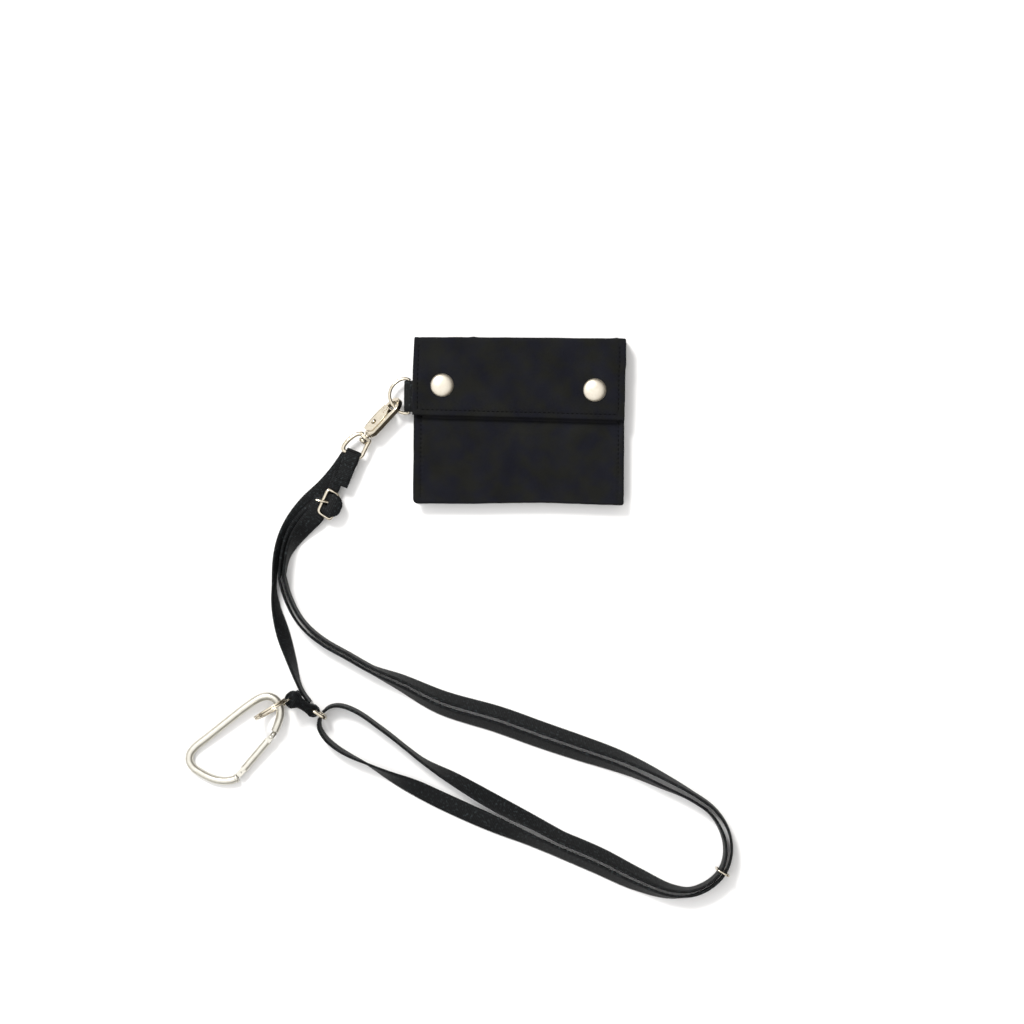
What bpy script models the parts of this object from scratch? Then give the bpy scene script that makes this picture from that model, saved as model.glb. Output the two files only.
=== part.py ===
"""Neck pouch wallet on a webbing lanyard: snap-flap pouch, swivel trigger hook, pin buckle, rings, carabiner.
Metres, +Z up. The pouch lies on its back on z = 0 with its centre at the origin, its long side along X."""

import math

import bmesh
import bpy
import numpy as np
from mathutils import Matrix, Vector

MM = 0.001
GAP = 0.3  # clearance between neighbouring pieces, mm

# Pouch, mm
BACK_T = 1.4
POCKET_GAP = 5.0
DIVIDER_T, CARD_T, FRONT_T, FLAP_T = 0.6, 0.5, 1.4, 1.4
FLAP_EDGE_Y = 2.2
FRONT_Z = 8.8
FLAP_Z = 12.3
SNAP_R = 6.2
SNAPS = ((-41.0, 19.2), (39.5, 16.6))
SPINE_AXIS = (42.4, 2.2)
FLAP_AXIS = (42.4, 12.7)

# Webbing, mm
WEB_W, WEB_T = 10.0, 1.4

# Hook frame, mm: origin at the rear of the hook body
HOOK_O = (-79.8, -6.9, 6.2)
HOOK_F = (0.6606, 0.7507)
HOOK_TILT = 55.0
BAR_X, D_Z = -58.6, 6.2

TURN = math.radians(0.46)  # the lanyard is laid out turned by this to the pouch


def turned(x, y):
    c, s = math.cos(TURN), math.sin(TURN)
    return x * c - y * s, x * s + y * c


for old in list(bpy.data.objects):
    bpy.data.objects.remove(old, do_unlink=True)
scene = bpy.context.scene
scene.unit_settings.system = "METRIC"
parts = bpy.data.collections.new("neck_pouch_wallet")
cutters = bpy.data.collections.new("cutters")
cutters.hide_render = True
scene.collection.children.link(parts)
scene.collection.children.link(cutters)


def material(name, colour, metallic, roughness):
    made = bpy.data.materials.new(name)
    made.use_nodes = True
    shader = made.node_tree.nodes["Principled BSDF"]
    shader.inputs["Base Color"].default_value = (*colour, 1)
    shader.inputs["Metallic"].default_value = metallic
    shader.inputs["Roughness"].default_value = roughness
    return made


NYLON = ((0.018, 0.019, 0.022), 0.0, 0.85)
WEB = ((0.02, 0.021, 0.023), 0.0, 0.8)
LINING = ((0.03, 0.03, 0.034), 0.0, 0.7)
NICKEL = ((0.8, 0.76, 0.68), 1.0, 0.22)
PEARL = ((0.85, 0.82, 0.75), 0.6, 0.35)
SILVER = ((0.82, 0.82, 0.8), 0.9, 0.4)


def add(name, bm, look, cutter=False, origin=(0, 0, 0)):
    bmesh.ops.recalc_face_normals(bm, faces=bm.faces)
    centre = Vector(origin) * MM
    mesh = bpy.data.meshes.new(name)
    for vert in bm.verts:
        vert.co = vert.co * MM - centre
    bm.to_mesh(mesh)
    bm.free()
    obj = bpy.data.objects.new(name, mesh)
    obj.location = centre
    if cutter:
        obj.hide_render = True
        obj.display_type = "WIRE"
        cutters.objects.link(obj)
    else:
        mesh.materials.append(material("mat_" + name, *look))
        parts.objects.link(obj)
    return obj


def extruded(outline, z0, z1, place=None):
    """A bmesh prism over the (x, y) outline between z0 and z1, moved by the matrix."""
    bm = bmesh.new()
    low = [bm.verts.new((x, y, z0)) for x, y in outline]
    high = [bm.verts.new((x, y, z1)) for x, y in outline]
    bm.faces.new(low[::-1])
    bm.faces.new(high)
    for i in range(len(outline)):
        j = (i + 1) % len(outline)
        bm.faces.new((low[i], low[j], high[j], high[i]))
    if place is not None:
        bmesh.ops.transform(bm, matrix=place, verts=bm.verts)
    return bm


def rounded(corners, radius, steps=4):
    """The corner points, each replaced by an arc."""
    out = []
    count = len(corners)
    radii = radius if isinstance(radius, (list, tuple)) else [radius] * count
    for i, r in enumerate(radii):
        p = Vector(corners[i])
        a = (Vector(corners[i - 1]) - p).normalized()
        b = (Vector(corners[(i + 1) % count]) - p).normalized()
        if r <= 0:
            out.append(tuple(p))
            continue
        half = a.angle(b) / 2
        reach = r / math.tan(half)
        centre = p + (a + b).normalized() * (r / math.sin(half))
        start, end = p + a * reach - centre, p + b * reach - centre
        turn = start.angle_signed(end)
        for k in range(steps + 1):
            angle = -turn * k / steps
            c, s = math.cos(angle), math.sin(angle)
            out.append((centre.x + start.x * c - start.y * s, centre.y + start.x * s + start.y * c))
    return out


def smooth(points, spacing, closed=False):
    """Catmull-Rom through the rows (first three columns are positions), sampled at about this spacing."""
    rows = [np.array(p, float) for p in points]
    count = len(rows)
    out = []
    spans = count if closed else count - 1
    for i in range(spans):
        if closed:
            p0, p1, p2, p3 = (rows[(i + k) % count] for k in (-1, 0, 1, 2))
        else:
            p1, p2 = rows[i], rows[i + 1]
            p0 = rows[i - 1] if i > 0 else 2 * p1 - p2
            p3 = rows[i + 2] if i + 2 < count else 2 * p2 - p1
        d = [max(np.linalg.norm((b - a)[:3]), 1e-6) ** 0.5 for a, b in ((p0, p1), (p1, p2), (p2, p3))]
        m1 = (p1 - p0) / d[0] - (p2 - p0) / (d[0] + d[1]) + (p2 - p1) / d[1]
        m2 = (p2 - p1) / d[1] - (p3 - p1) / (d[1] + d[2]) + (p3 - p2) / d[2]
        m1, m2 = m1 * d[1], m2 * d[1]
        steps = max(1, round(np.linalg.norm((p2 - p1)[:3]) / spacing))
        for k in range(steps):
            t = k / steps
            out.append(
                (2 * t**3 - 3 * t**2 + 1) * p1
                + (t**3 - 2 * t**2 + t) * m1
                + (3 * t**2 - 2 * t**3) * p2
                + (t**3 - t**2) * m2
            )
    if not closed:
        out.append(rows[-1])
    return np.array(out)


def tangents(line, closed=False):
    if closed:
        step = np.roll(line, -1, 0) - np.roll(line, 1, 0)
    else:
        step = np.gradient(line, axis=0)
    return step / np.linalg.norm(step, axis=1)[:, None]


def skin(rings, closed=False):
    """A bmesh over equal rings of points; open ends are capped."""
    bm = bmesh.new()
    made = [[bm.verts.new(tuple(p)) for p in ring] for ring in rings]
    pairs = list(zip(made, made[1:] + made[:1])) if closed else list(zip(made, made[1:]))
    for a, b in pairs:
        for i in range(len(a)):
            j = (i + 1) % len(a)
            bm.faces.new((a[i], a[j], b[j], b[i]))
    if not closed:
        bm.faces.new(made[0][::-1])
        bm.faces.new(made[-1])
    return bm


def tube(line, radius, sides=10, closed=False, up=(0, 0, 1)):
    """A round bar along the line."""
    line = np.array(line, float)
    along = tangents(line, closed)
    rings = []
    side = np.cross(along[0], up)
    side /= np.linalg.norm(side)
    for p, t in zip(line, along):
        side = side - t * np.dot(side, t)
        side /= np.linalg.norm(side)
        normal = np.cross(side, t)
        rings.append(
            [
                p + radius * (math.cos(a) * side + math.sin(a) * normal)
                for a in (2 * math.pi * k / sides for k in range(sides))
            ]
        )
    return skin(rings, closed)


def lifted(points):
    """Rows x, y, z, roll, width from points (x, y, lift, roll[, width]): roll 0 is flat, +90 on edge with
    the left of travel down; lift raises the strap above lying on the floor."""
    rows = []
    for p in points:
        x, y = turned(p[0], p[1])
        width = p[4] if len(p) > 4 else WEB_W
        roll = math.radians(p[3])
        z = p[2] + abs(math.sin(roll)) * width / 2 + abs(math.cos(roll)) * WEB_T / 2 + 0.1
        rows.append((x, y, z, roll, width))
    return rows


def strap_rows(points, spacing=7.0, closed=False):
    return smooth(lifted(points), spacing, closed)


def strap(rows, thick=WEB_T, closed=False):
    line = rows[:, :3]
    along = tangents(line, closed)
    rings = []
    for p, t, roll, width in zip(line, along, rows[:, 3], rows[:, 4]):
        left = np.cross((0, 0, 1), t)
        left /= np.linalg.norm(left)
        up = np.cross(t, left)
        across = math.cos(roll) * left - math.sin(roll) * up
        normal = math.sin(roll) * left + math.cos(roll) * up
        a, b = across * width / 2, normal * thick / 2
        rings.append([p + a + b, p - a + b, p - a - b, p + a - b])
    return skin(rings, closed)


def lathe(profile, place, sides=24):
    """A solid of revolution about local Z. The profile runs from the axis back to the axis."""
    bm = bmesh.new()
    rings = []
    for r, z in profile:
        if r < 1e-6:
            rings.append([bm.verts.new((0, 0, z))])
        else:
            rings.append(
                [
                    bm.verts.new((r * math.cos(a), r * math.sin(a), z))
                    for a in (2 * math.pi * k / sides for k in range(sides))
                ]
            )
    for a, b in zip(rings, rings[1:]):
        for i in range(sides):
            j = (i + 1) % sides
            if len(a) == 1:
                bm.faces.new((a[0], b[j], b[i]))
            elif len(b) == 1:
                bm.faces.new((a[i], a[j], b[0]))
            else:
                bm.faces.new((a[i], a[j], b[j], b[i]))
    bmesh.ops.transform(bm, matrix=place, verts=bm.verts)
    return bm


def ring_lathe(profile, place, sides=24):
    """A ring of revolution: the profile is closed and clear of the axis."""
    bm = bmesh.new()
    rings = [
        [bm.verts.new((r * math.cos(a), r * math.sin(a), z)) for r, z in profile]
        for a in (2 * math.pi * k / sides for k in range(sides))
    ]
    for a, b in zip(rings, rings[1:] + rings[:1]):
        for i in range(len(profile)):
            j = (i + 1) % len(profile)
            bm.faces.new((a[i], a[j], b[j], b[i]))
    bmesh.ops.transform(bm, matrix=place, verts=bm.verts)
    return bm


def pin_hole(radius, place, sides=14):
    """A cutter for the hole of a pin along the matrix's Z."""
    return lathe([(0, -3), (radius, -3), (radius, 3), (0, 3)], place, sides)


def bevel(obj, width, segments=1, angle=40):
    made = obj.modifiers.new("bevel", "BEVEL")
    made.width = width * MM
    made.segments = segments
    made.limit_method = "ANGLE"
    made.angle_limit = math.radians(angle)


def boolean(obj, other, operation="DIFFERENCE"):
    made = obj.modifiers.new(operation.lower(), "BOOLEAN")
    made.operation = operation
    made.solver = "EXACT"
    made.object = other


def basis(origin, x, y, z):
    """The matrix whose columns are these three axes, at this origin."""
    return Matrix([[x[i], y[i], z[i], origin[i]] for i in range(3)] + [[0, 0, 0, 1]])


# ---------------------------------------------------------------- pouch

TOP_Y = 41.6

back = add(
    "back_panel",
    extruded(
        rounded([(-54.8, -43.4), (54.8, -43.4), (55.0, TOP_Y), (-55.0, TOP_Y)], [3, 3, 1, 1]), 0, BACK_T
    ),
    NYLON,
)
bevel(back, 0.4)

pocket_z = BACK_T + POCKET_GAP  # top of the main pocket
for name, sign in (("side_gusset_left", -1), ("side_gusset_right", 1)):
    x0, x1 = sorted((sign * 52.4, sign * 54.6))
    add(
        name,
        extruded([(x0, -40.6), (x1, -40.6), (x1, TOP_Y), (x0, TOP_Y)], BACK_T + GAP, FRONT_Z - GAP),
        NYLON,
    )
add(
    "bottom_gusset",
    extruded(
        rounded([(-54.6, -43.2), (54.6, -43.2), (54.6, -40.9), (-54.6, -40.9)], [1.6, 1.6, 0, 0], 3),
        BACK_T + GAP,
        FRONT_Z - GAP,
    ),
    NYLON,
)

inner = 52.1
add(
    "main_divider",
    extruded(
        [(-inner, -40.6), (inner, -40.6), (inner, 39.5), (-inner, 39.5)], pocket_z, pocket_z + DIVIDER_T
    ),
    LINING,
)
z = pocket_z + DIVIDER_T + 0.2
add(
    "card_pocket_upper",
    extruded([(-inner, -40.6), (inner, -40.6), (inner, 26), (-inner, 26)], z, z + CARD_T),
    LINING,
)
z += CARD_T + 0.2
add(
    "card_pocket_lower",
    extruded([(-inner, -40.6), (inner, -40.6), (inner, 12), (-inner, 12)], z, z + CARD_T),
    LINING,
)

front = add(
    "front_panel",
    extruded(
        rounded([(-54.6, -43.3), (54.4, -43.5), (54.9, 40.2), (-54.9, 40.2)], [3, 3, 1, 1]),
        FRONT_Z,
        FRONT_Z + FRONT_T,
    ),
    NYLON,
)
bevel(front, 0.45)

spine_y = SPINE_AXIS[0] + 0.2
add(
    "flap_spine",
    extruded(
        [(-55.3, spine_y), (55.3, spine_y), (55.3, spine_y + 1.3), (-55.3, spine_y + 1.3)],
        SPINE_AXIS[1],
        FLAP_AXIS[1] - 1.0,
    ),
    NYLON,
    origin=(0, *SPINE_AXIS),
)
flap = add(
    "flap_panel",
    extruded(
        rounded(
            [
                (-55.3, FLAP_EDGE_Y + 1.5),
                (55.2, FLAP_EDGE_Y - 1.2),
                (55.9, FLAP_AXIS[0]),
                (-55.5, FLAP_AXIS[0] + 0.6),
            ],
            [1, 1, 0.5, 0.5],
            3,
        ),
        FLAP_Z,
        FLAP_Z + FLAP_T,
    ),
    NYLON,
    origin=(0, *FLAP_AXIS),
)
bevel(flap, 0.45)

for side, (x, y) in zip(("left", "right"), SNAPS):
    top = FLAP_Z + FLAP_T + 0.1
    dome = [(0, top)] + [(SNAP_R, top)] + [(SNAP_R - 0.05, top + 0.5)]
    dome += [
        (SNAP_R * math.cos(a), top + 0.5 + 1.25 * math.sin(a))
        for a in (math.radians(d) for d in (20, 40, 60, 78))
    ]
    dome += [(0, top + 1.75)]
    add(f"snap_cap_{side}", lathe(dome, Matrix.Translation((x, y, 0)), 28), PEARL, origin=(0, *FLAP_AXIS))
    low, high = FRONT_Z + FRONT_T + 0.8, FLAP_Z - 0.1
    add(
        f"snap_socket_{side}",
        ring_lathe(
            [(2.1, low), (4.6, low), (4.9, low + 0.3), (4.9, high), (2.1, high)],
            Matrix.Translation((x, y, 0)),
            20,
        ),
        NICKEL,
        origin=(0, *FLAP_AXIS),
    )
    base = FRONT_Z + FRONT_T + 0.1
    add(
        f"snap_stud_{side}",
        lathe(
            [
                (0, base), (4.2, base), (4.2, base + 0.35), (1.5, base + 0.35), (1.45, base + 0.8),
                (1.7, base + 1.15), (1.2, base + 1.6), (0, base + 1.7),
            ],
            Matrix.Translation((x, y, 0)),
            18,
        ),
        NICKEL,
    )

# ring tab: webbing folded round the bar of the D-ring, sewn into the left seam
BAR_R = 0.9
inner_r = BAR_R + GAP
outer_r = inner_r + 1.2
profile = [(-55.2, -outer_r), (BAR_X, -outer_r)]
profile += [
    (BAR_X + outer_r * math.cos(a), outer_r * math.sin(a))
    for a in (math.radians(d) for d in range(-112, -249, -22))
]
profile += [(BAR_X, outer_r), (-55.2, outer_r), (-55.2, inner_r), (BAR_X, inner_r)]
profile += [
    (BAR_X + inner_r * math.cos(a), inner_r * math.sin(a))
    for a in (math.radians(d) for d in range(-248, -111, 34))
]
profile += [(BAR_X, -inner_r), (-55.2, -inner_r)]
tab_y0, tab_y1 = 5.3, 20.3
place = Matrix(((1, 0, 0, 0), (0, 0, 1, 0), (0, 1, 0, D_Z), (0, 0, 0, 1)))
add("ring_tab", extruded(profile, tab_y0, tab_y1, place), WEB)

# ---------------------------------------------------------------- D-ring

d_points = [
    (BAR_X, 21.6), (-60.6, 22.1), (-63.4, 21.4), (-66.2, 19.4), (-68.3, 16.2), (-68.8, 12.8),
    (-68.1, 10.1), (-66.7, 7.6), (-64.4, 5.2), (-61.6, 4.0), (BAR_X, 4.0),
]
line = smooth([(x, y, D_Z) for x, y in d_points], 2.0)
bottom_y, top_y = d_points[-1][1], d_points[0][1]
bar = [(BAR_X, bottom_y + (top_y - bottom_y) * k / 5, D_Z) for k in range(1, 5)]
closed_line = np.vstack(
    [line[:-1], [(BAR_X - 0.2, bottom_y + 0.1, D_Z)], bar, [(BAR_X - 0.1, top_y - 0.2, D_Z)]]
)
closed_line = closed_line[1:]
add("d_ring", tube(closed_line, BAR_R, 10, closed=True), NICKEL, origin=(BAR_X, 12.8, D_Z))

# ---------------------------------------------------------------- trigger hook

f = Vector((*HOOK_F, 0)).normalized()
lateral = Vector((-f.y, f.x, 0))
tilt = math.radians(HOOK_TILT)
p_axis = math.cos(tilt) * lateral - math.sin(tilt) * Vector((0, 0, 1))
n_axis = math.sin(tilt) * lateral + math.cos(tilt) * Vector((0, 0, 1))
ox, oy = turned(HOOK_O[0], HOOK_O[1])
hook_origin = Vector((ox, oy, HOOK_O[2]))
# local x forward, y toward the lever, z the hook's normal
hook_place = basis(hook_origin, f, p_axis, n_axis)


def arc(cx, cy, rx, ry, start, end, steps):
    angles = [math.radians(start + (end - start) * k / steps) for k in range(steps + 1)]
    return [(cx + rx * math.cos(a), cy + ry * math.sin(a)) for a in angles]


EYE = (18.3, 0.0)
outline = [(0.0, -3.0), (2.5, -4.7), (EYE[0] - 1, -5.1)]
outline += arc(EYE[0], EYE[1], 6.7, 5.2, -80, 84, 12)
outline += [(17.9, 5.1), (17.9, 3.3)]
outline += arc(EYE[0], EYE[1], 3.8, 3.3, 88, -100, 12)
outline += [
    (15.5, -2.4), (10.2, -2.2), (9.3, 0.2), (8.6, 3.6), (6.8, 4.2), (5.2, 3.4), (3.0, 2.2), (0.0, 3.0)
]
hook = add("hook_body", extruded(outline, -1.4, 1.4, hook_place), NICKEL, origin=hook_origin)
# the lug under the lever is thinner than the shank
for sign in (-1, 1):
    lug = [(3.6, -1.5), (9.8, -1.5), (9.8, 5.2), (3.6, 5.2)]
    z0, z1 = sorted((sign * 0.7, sign * 2.4))
    boolean(
        hook,
        add(
            f"lug_cut_{'a' if sign < 0 else 'b'}",
            extruded(lug, z0, z1, hook_place),
            None,
            cutter=True,
            origin=hook_origin,
        ),
    )
rivet_place = hook_place @ Matrix.Translation((7.0, 2.2, 0))
boolean(hook, add("rivet_hole_cut", pin_hole(0.95, rivet_place), None, cutter=True, origin=hook_origin))
post_place = hook_place @ Matrix.Rotation(-math.pi / 2, 4, "Y")
# the swivel post runs back from the rear of the body
post = lathe(
    [
        (0, -0.6), (2.2, -0.6), (2.6, 0.5), (1.35, 0.55), (1.35, 3.7), (2.2, 3.75), (2.3, 4.6), (1.7, 5.6),
        (0, 5.8),
    ],
    post_place,
    16,
)
boolean(hook, add("post_union", post, None, cutter=True, origin=hook_origin), "UNION")

cheek = [
    (4.3, -1.0), (9.2, -1.0), (13.0, 1.4), (17.5, 3.2), (17.5, 4.7), (14.0, 5.5), (8.0, 5.8), (3.0, 5.4),
    (1.0, 4.8), (1.2, 4.0), (4.3, 3.7),
]
lever = add("hook_trigger", extruded(cheek, -2.0, 2.0, hook_place), NICKEL, origin=hook_origin)
slot = [(-1.0, -3.0), (14.2, -3.0), (13.2, 4.6), (-1.0, 4.6)]
boolean(
    lever,
    add("lever_slot_cut", extruded(slot, -1.0, 1.0, hook_place), None, cutter=True, origin=hook_origin),
)
boolean(lever, add("lever_hole_cut", pin_hole(0.95, rivet_place), None, cutter=True, origin=hook_origin))
rivet = [(0, -2.9), (1.3, -2.9), (1.5, -2.3), (0.65, -2.25), (0.65, 2.25), (1.5, 2.3), (1.3, 2.9), (0, 2.9)]
add("trigger_rivet", lathe(rivet, rivet_place, 14), NICKEL, origin=hook_origin)
coil = [
    (12.3 + 0.75 * math.cos(a), -1.55 + a * 0.09, 0.75 * math.sin(a))
    for a in (k * math.pi / 5 for k in range(34))
]
coil = [tuple(hook_place @ Vector(p)) for p in coil]
add("trigger_spring", tube(coil, 0.22, 6), NICKEL, origin=hook_origin)

# ---------------------------------------------------------------- swivel bail

flat_place = basis(hook_origin, f, lateral, Vector((0, 0, 1)))
bail_line = [
    (-1.9, 3.0), (-3.8, 5.0), (-7.0, 6.4), (-11.0, 6.9), (-14.5, 6.3), (-15.75, 4.6), (-14.75, 2.0),
    (-13.8, -0.4), (-12.85, -2.8), (-11.85, -5.3), (-10.2, -6.3), (-7.2, -5.9), (-4.6, -5.0), (-3.0, -4.1),
    (-1.9, -3.0),
]
line = smooth([(*p, 0) for p in bail_line], 1.6)
line = [tuple(flat_place @ Vector(p)) for p in line]
bail = add("swivel_bail", tube(line, 1.15, 8), NICKEL, origin=hook_origin)
collar_place = flat_place @ Matrix.Rotation(-math.pi / 2, 4, "Y")
collar = ring_lathe(
    [(1.75, 0.95), (3.3, 0.95), (3.5, 1.5), (3.5, 2.8), (3.2, 3.35), (1.75, 3.35)], collar_place, 18
)
boolean(bail, add("collar_union", collar, None, cutter=True, origin=hook_origin), "UNION")

# ---------------------------------------------------------------- webbing of the hook end

bar_mid = flat_place @ Vector((-13.8, -0.4, 0))
web_dir = Vector((-0.374, -0.928, 0)).normalized()
web_side = Vector((-web_dir.y, web_dir.x, 0))
inner_r = 1.15 + GAP
outer_r = inner_r + WEB_T
fold = [(20.5, outer_r - 0.3), (8, outer_r), (0.3, outer_r)] + arc(0, 0, outer_r, outer_r, 100, 260, 7) + [
    (0.3, -outer_r), (3.2, -outer_r)
]
fold += [(3.2, -inner_r), (0.3, -inner_r)] + arc(0, 0, inner_r, inner_r, 255, 105, 5) + [
    (0.3, inner_r), (8, outer_r - WEB_T), (20.5, outer_r - WEB_T - 0.3)
]
fold_place = basis(bar_mid, web_dir, Vector((0, 0, 1)), -web_side)
add("hook_strap_fold", extruded(fold, -4.2, 4.2, fold_place), WEB, origin=bar_mid)

# Straps: rows of x, y, lift, roll, (width)
HOOK_STRAP = [
    (-92.0, -21.6, 2.2, 0), (-96.0, -27.0, 1.0, 2), (-102.6, -34.6, 0.1, 5), (-112.3, -43.8, 0, 12),
    (-119.8, -53.2, 0, 30), (-124.9, -62.6, 0, 52), (-128.3, -73, 0, 74), (-129.6, -86.2, 0, 86),
    (-128.8, -97.0, 0, 72), (-125.1, -111.5, 0, 52), (-120.6, -125.8, 0, 66), (-116.2, -138.0, 0, 86),
    (-112.9, -142.9, 0, 90), (-109.0, -146.6, 0.3, 90, 9.0),
]
add("hook_strap", strap(strap_rows(HOOK_STRAP)), WEB)

# The two strands of the neck strap: x, y of the middle of the pair, roll, extra gap between them
PAIR = [
    (-125.7, -82.5, 90, 0), (-122.9, -92.2, 90, 0), (-117.6, -103.0, 90, 0), (-111.4, -110.4, 90, 0),
    (-102.6, -117.2, 90, 0), (-91.2, -123.6, 90, 0), (-78.3, -130.9, 86, 0), (-63.2, -137.6, 74, 0),
    (-41.1, -148.4, 60, 0), (-11.6, -157.3, 55, 0), (10.5, -165.2, 55, 0), (31.6, -172.4, 57, 0),
    (48, -177.9, 62, 0.1), (61.4, -183.2, 70, 0.6), (74.8, -189.6, 78, 1.1), (90.0, -197.4, 86, 0.8),
    (101.6, -205.6, 90, 0.5), (108.0, -215.5, 90, 0.8), (110.0, -226.0, 90, 0.5, 0.5), (
        107.8, -235.4, 90, 0, 1.2
    ),
    (102.2, -242.6, 90, 0, 0.5), (92.0, -248.0, 88, 0.3), (79.6, -248.2, 76, 0), (61.4, -241.6, 62, 0),
    (41.1, -231.8, 55, 0), (21.1, -223.2, 55, 0),
]


def pair_strand(side):
    """The route of one strand of the pair; side is +1 for the left of travel."""
    rows = [(*turned(p[0], p[1]), 0, p[2], p[3], p[4] if len(p) > 4 else 0) for p in PAIR]
    centre = smooth(rows, 8.0)
    along = tangents(centre[:, :3])
    out = []
    for (x, y, _, roll, gap, lift), t in zip(centre, along):
        a = math.radians(min(roll, 90.0))
        shift = WEB_W / 2 * math.cos(a) + WEB_T / 2 * math.sin(a) + 0.4 + gap / 2
        z = WEB_W / 2 * math.sin(a) + WEB_T / 2 * math.cos(a) + 0.1 + max(lift, 0)
        out.append((x - t[1] * shift * side, y + t[0] * shift * side, z, a * side, WEB_W))
    return out


# From the buckle to the pair the free strand lies on the sewn one and both turn on edge together:
# x, y of the middle, roll, how far the free strand is out to the left, lift
BUNDLE = [
    (-109.7, -48.0, 8, 2.2, 1.9), (-115.4, -54.2, 26, 2.0, 0.6), (-120.2, -62.0, 54, 1.2, 0.1), (
        -123.8, -71.0, 80, 0.3, 0
    ),
]
FREE_TIP = [
    (-92.9, -45.7, 8.8, 0, 6.4), (-93.8, -45.3, 8.8, 0, 8.4), (-95.3, -44.7, 8.8, 0, 8.4), (
        -98.7, -43.4, 8.9, 0, 8.0
    ),
    (-101.0, -42.6, 5.9, 0, 7.2), (-102.9, -42.1, 4.1, 0, 7.6), (-104.8, -42.8, 3.6, 0, 8.8),
]
SEWN_TIP = [(-102.1, -43.0, 2.2, 0), (-104.8, -43.9, 1.7, 2)]


APART = 1.15  # half the spacing of the two strands, centre to centre


def bundle_strand(free):
    points = [(*turned(x, y), 0, roll, out, lift) for x, y, roll, out, lift in BUNDLE]
    after = (*turned(PAIR[0][0], PAIR[0][1]), 0, 90, 0, 0)
    centre = smooth([*points, after], 3.5)[:-1]
    along = tangents(np.vstack([centre, after])[:, :3])[:-1]
    rows = []
    for (x, y, _, roll, out, lift), t in zip(centre, along):
        a = math.radians(roll)
        left, up = np.array([-t[1], t[0], 0]), np.array([0, 0, 1.0])
        across = math.cos(a) * left - math.sin(a) * up
        normal = math.sin(a) * left + math.cos(a) * up
        half = WEB_W / 2 * math.sin(a) + WEB_T / 2 * math.cos(a)
        lower = min(-normal[2] * APART, normal[2] * APART + across[2] * out)
        base = np.array([x, y, half + 0.1 + lift - lower])
        p = base + normal * APART + across * out if free else base - normal * APART
        rows.append((*p, a, WEB_W))
    return rows


FREE_END = [
    (3.2, -219.6, 0, 47), (-19, -210.2, 0, 18), (-41.1, -200.2, 0, 16), (-54.8, -193.4, 0, 30), (
        -69, -186.6, 0, 62
    ),
    (-80.6, -180.5, 0, 84), (-90.1, -175.9, 0, 90), (-97.1, -171.6, 0, 90), (-102.6, -166.6, 0.3, 90, 9.4),
    (-105.7, -161.0, 1.2, 90, 8.2), (-105.5, -156.2, 2.4, 90, 7.0),
]
SEWN_END = [
    (8.5, -212.2, 0, -50), (-11.6, -202.0, 0, -34), (-33.7, -189.2, 0, -52), (-50.1, -179.6, 0, -80), (
        -59.6, -172.4, 0, -90
    ),
    (-68.9, -165, 0, -90), (-75.9, -159.8, 0, -90), (-83, -154.7, 0, -90), (-90.1, -151.0, 0, -90),
    (-95.7, -149.6, 0.3, -90, 9.6), (-100.4, -150.4, 1.2, -90, 8.2), (-103.8, -153.2, 2.4, -90, 7.0),
]


def through(start, middle, end, flip):
    """One strand: tip, bundle, pair and end. flip turns the roll of the start to the pair's."""
    tip = [(x, y, z, roll - flip, width) for x, y, z, roll, width in lifted(start)]
    bundle = [(x, y, z, roll - flip, width) for x, y, z, roll, width in bundle_strand(flip == 0)]
    first = smooth(tip + bundle[:2], 3.0)[:-2]
    last = smooth(middle[-2:] + lifted(end), 7.0)[1:]
    return np.vstack([first, np.array(bundle), np.array(middle[:-1]), last])


free_rows = through(FREE_TIP, pair_strand(1), FREE_END, 0)
sewn_rows = through(SEWN_TIP, pair_strand(-1), SEWN_END, math.pi)
neck_free = add("neck_strap_free", strap(free_rows), WEB)
add("neck_strap_sewn", strap(sewn_rows), WEB)

# ---------------------------------------------------------------- pin buckle


def at(x, y, z):
    return Vector((*turned(x, y), z))


b_tl, b_bl = at(-101.1, -35.7, 7.0), at(-105.8, -46.8, 7.0)
b_tr, b_br = at(-93.0, -39.2, 5.8), at(-97.6, -50.2, 5.8)


def rounded3(points, radius, steps=3):
    out = []
    for i, p in enumerate(points):
        a = (points[i - 1] - p).normalized()
        b = (points[(i + 1) % len(points)] - p).normalized()
        start, end = p + a * radius, p + b * radius
        for k in range(steps + 1):
            t = k / steps
            out.append((1 - t) ** 2 * start + 2 * t * (1 - t) * p + t**2 * end)
    return out


frame_line = rounded3([b_tl, b_bl, b_br, b_tr], 2.0)
pivot = (b_tr + b_br) / 2
add("buckle_frame", tube([tuple(p) for p in frame_line], 0.75, 8, closed=True), NICKEL, origin=pivot)

bar_dir = (b_tr - b_br).normalized()
across = (b_tl - b_tr).normalized()
across = (across - bar_dir * across.dot(bar_dir)).normalized()
over = across.cross(bar_dir)
if over.z < 0:
    over = -over
ring_place = basis(pivot, across, over, bar_dir if across.cross(over).dot(bar_dir) > 0 else -bar_dir)
prong = add(
    "buckle_prong",
    ring_lathe([(1.0, -0.75), (1.9, -0.75), (1.9, 0.75), (1.0, 0.75)], ring_place, 14),
    NICKEL,
    origin=pivot,
)
tongue = smooth([(1.5, 0.9, 0), (3.2, 1.2, 0), (5.2, 1.4, 0), (8.6, 1.65, 0), (12.6, 1.0, 0)], 1.6)
tongue = [tuple(ring_place @ Vector(p)) for p in tongue]
lo, hi = 0.75 + GAP, 0.75 + GAP + 1.2
loop_profile = [(3.7, hi), (0.2, hi)] + arc(0, 0, hi, hi, 100, 260, 7)
loop_profile += [(0.2, -hi), (3.7, -hi), (3.7, -lo), (0.2, -lo)]
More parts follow.
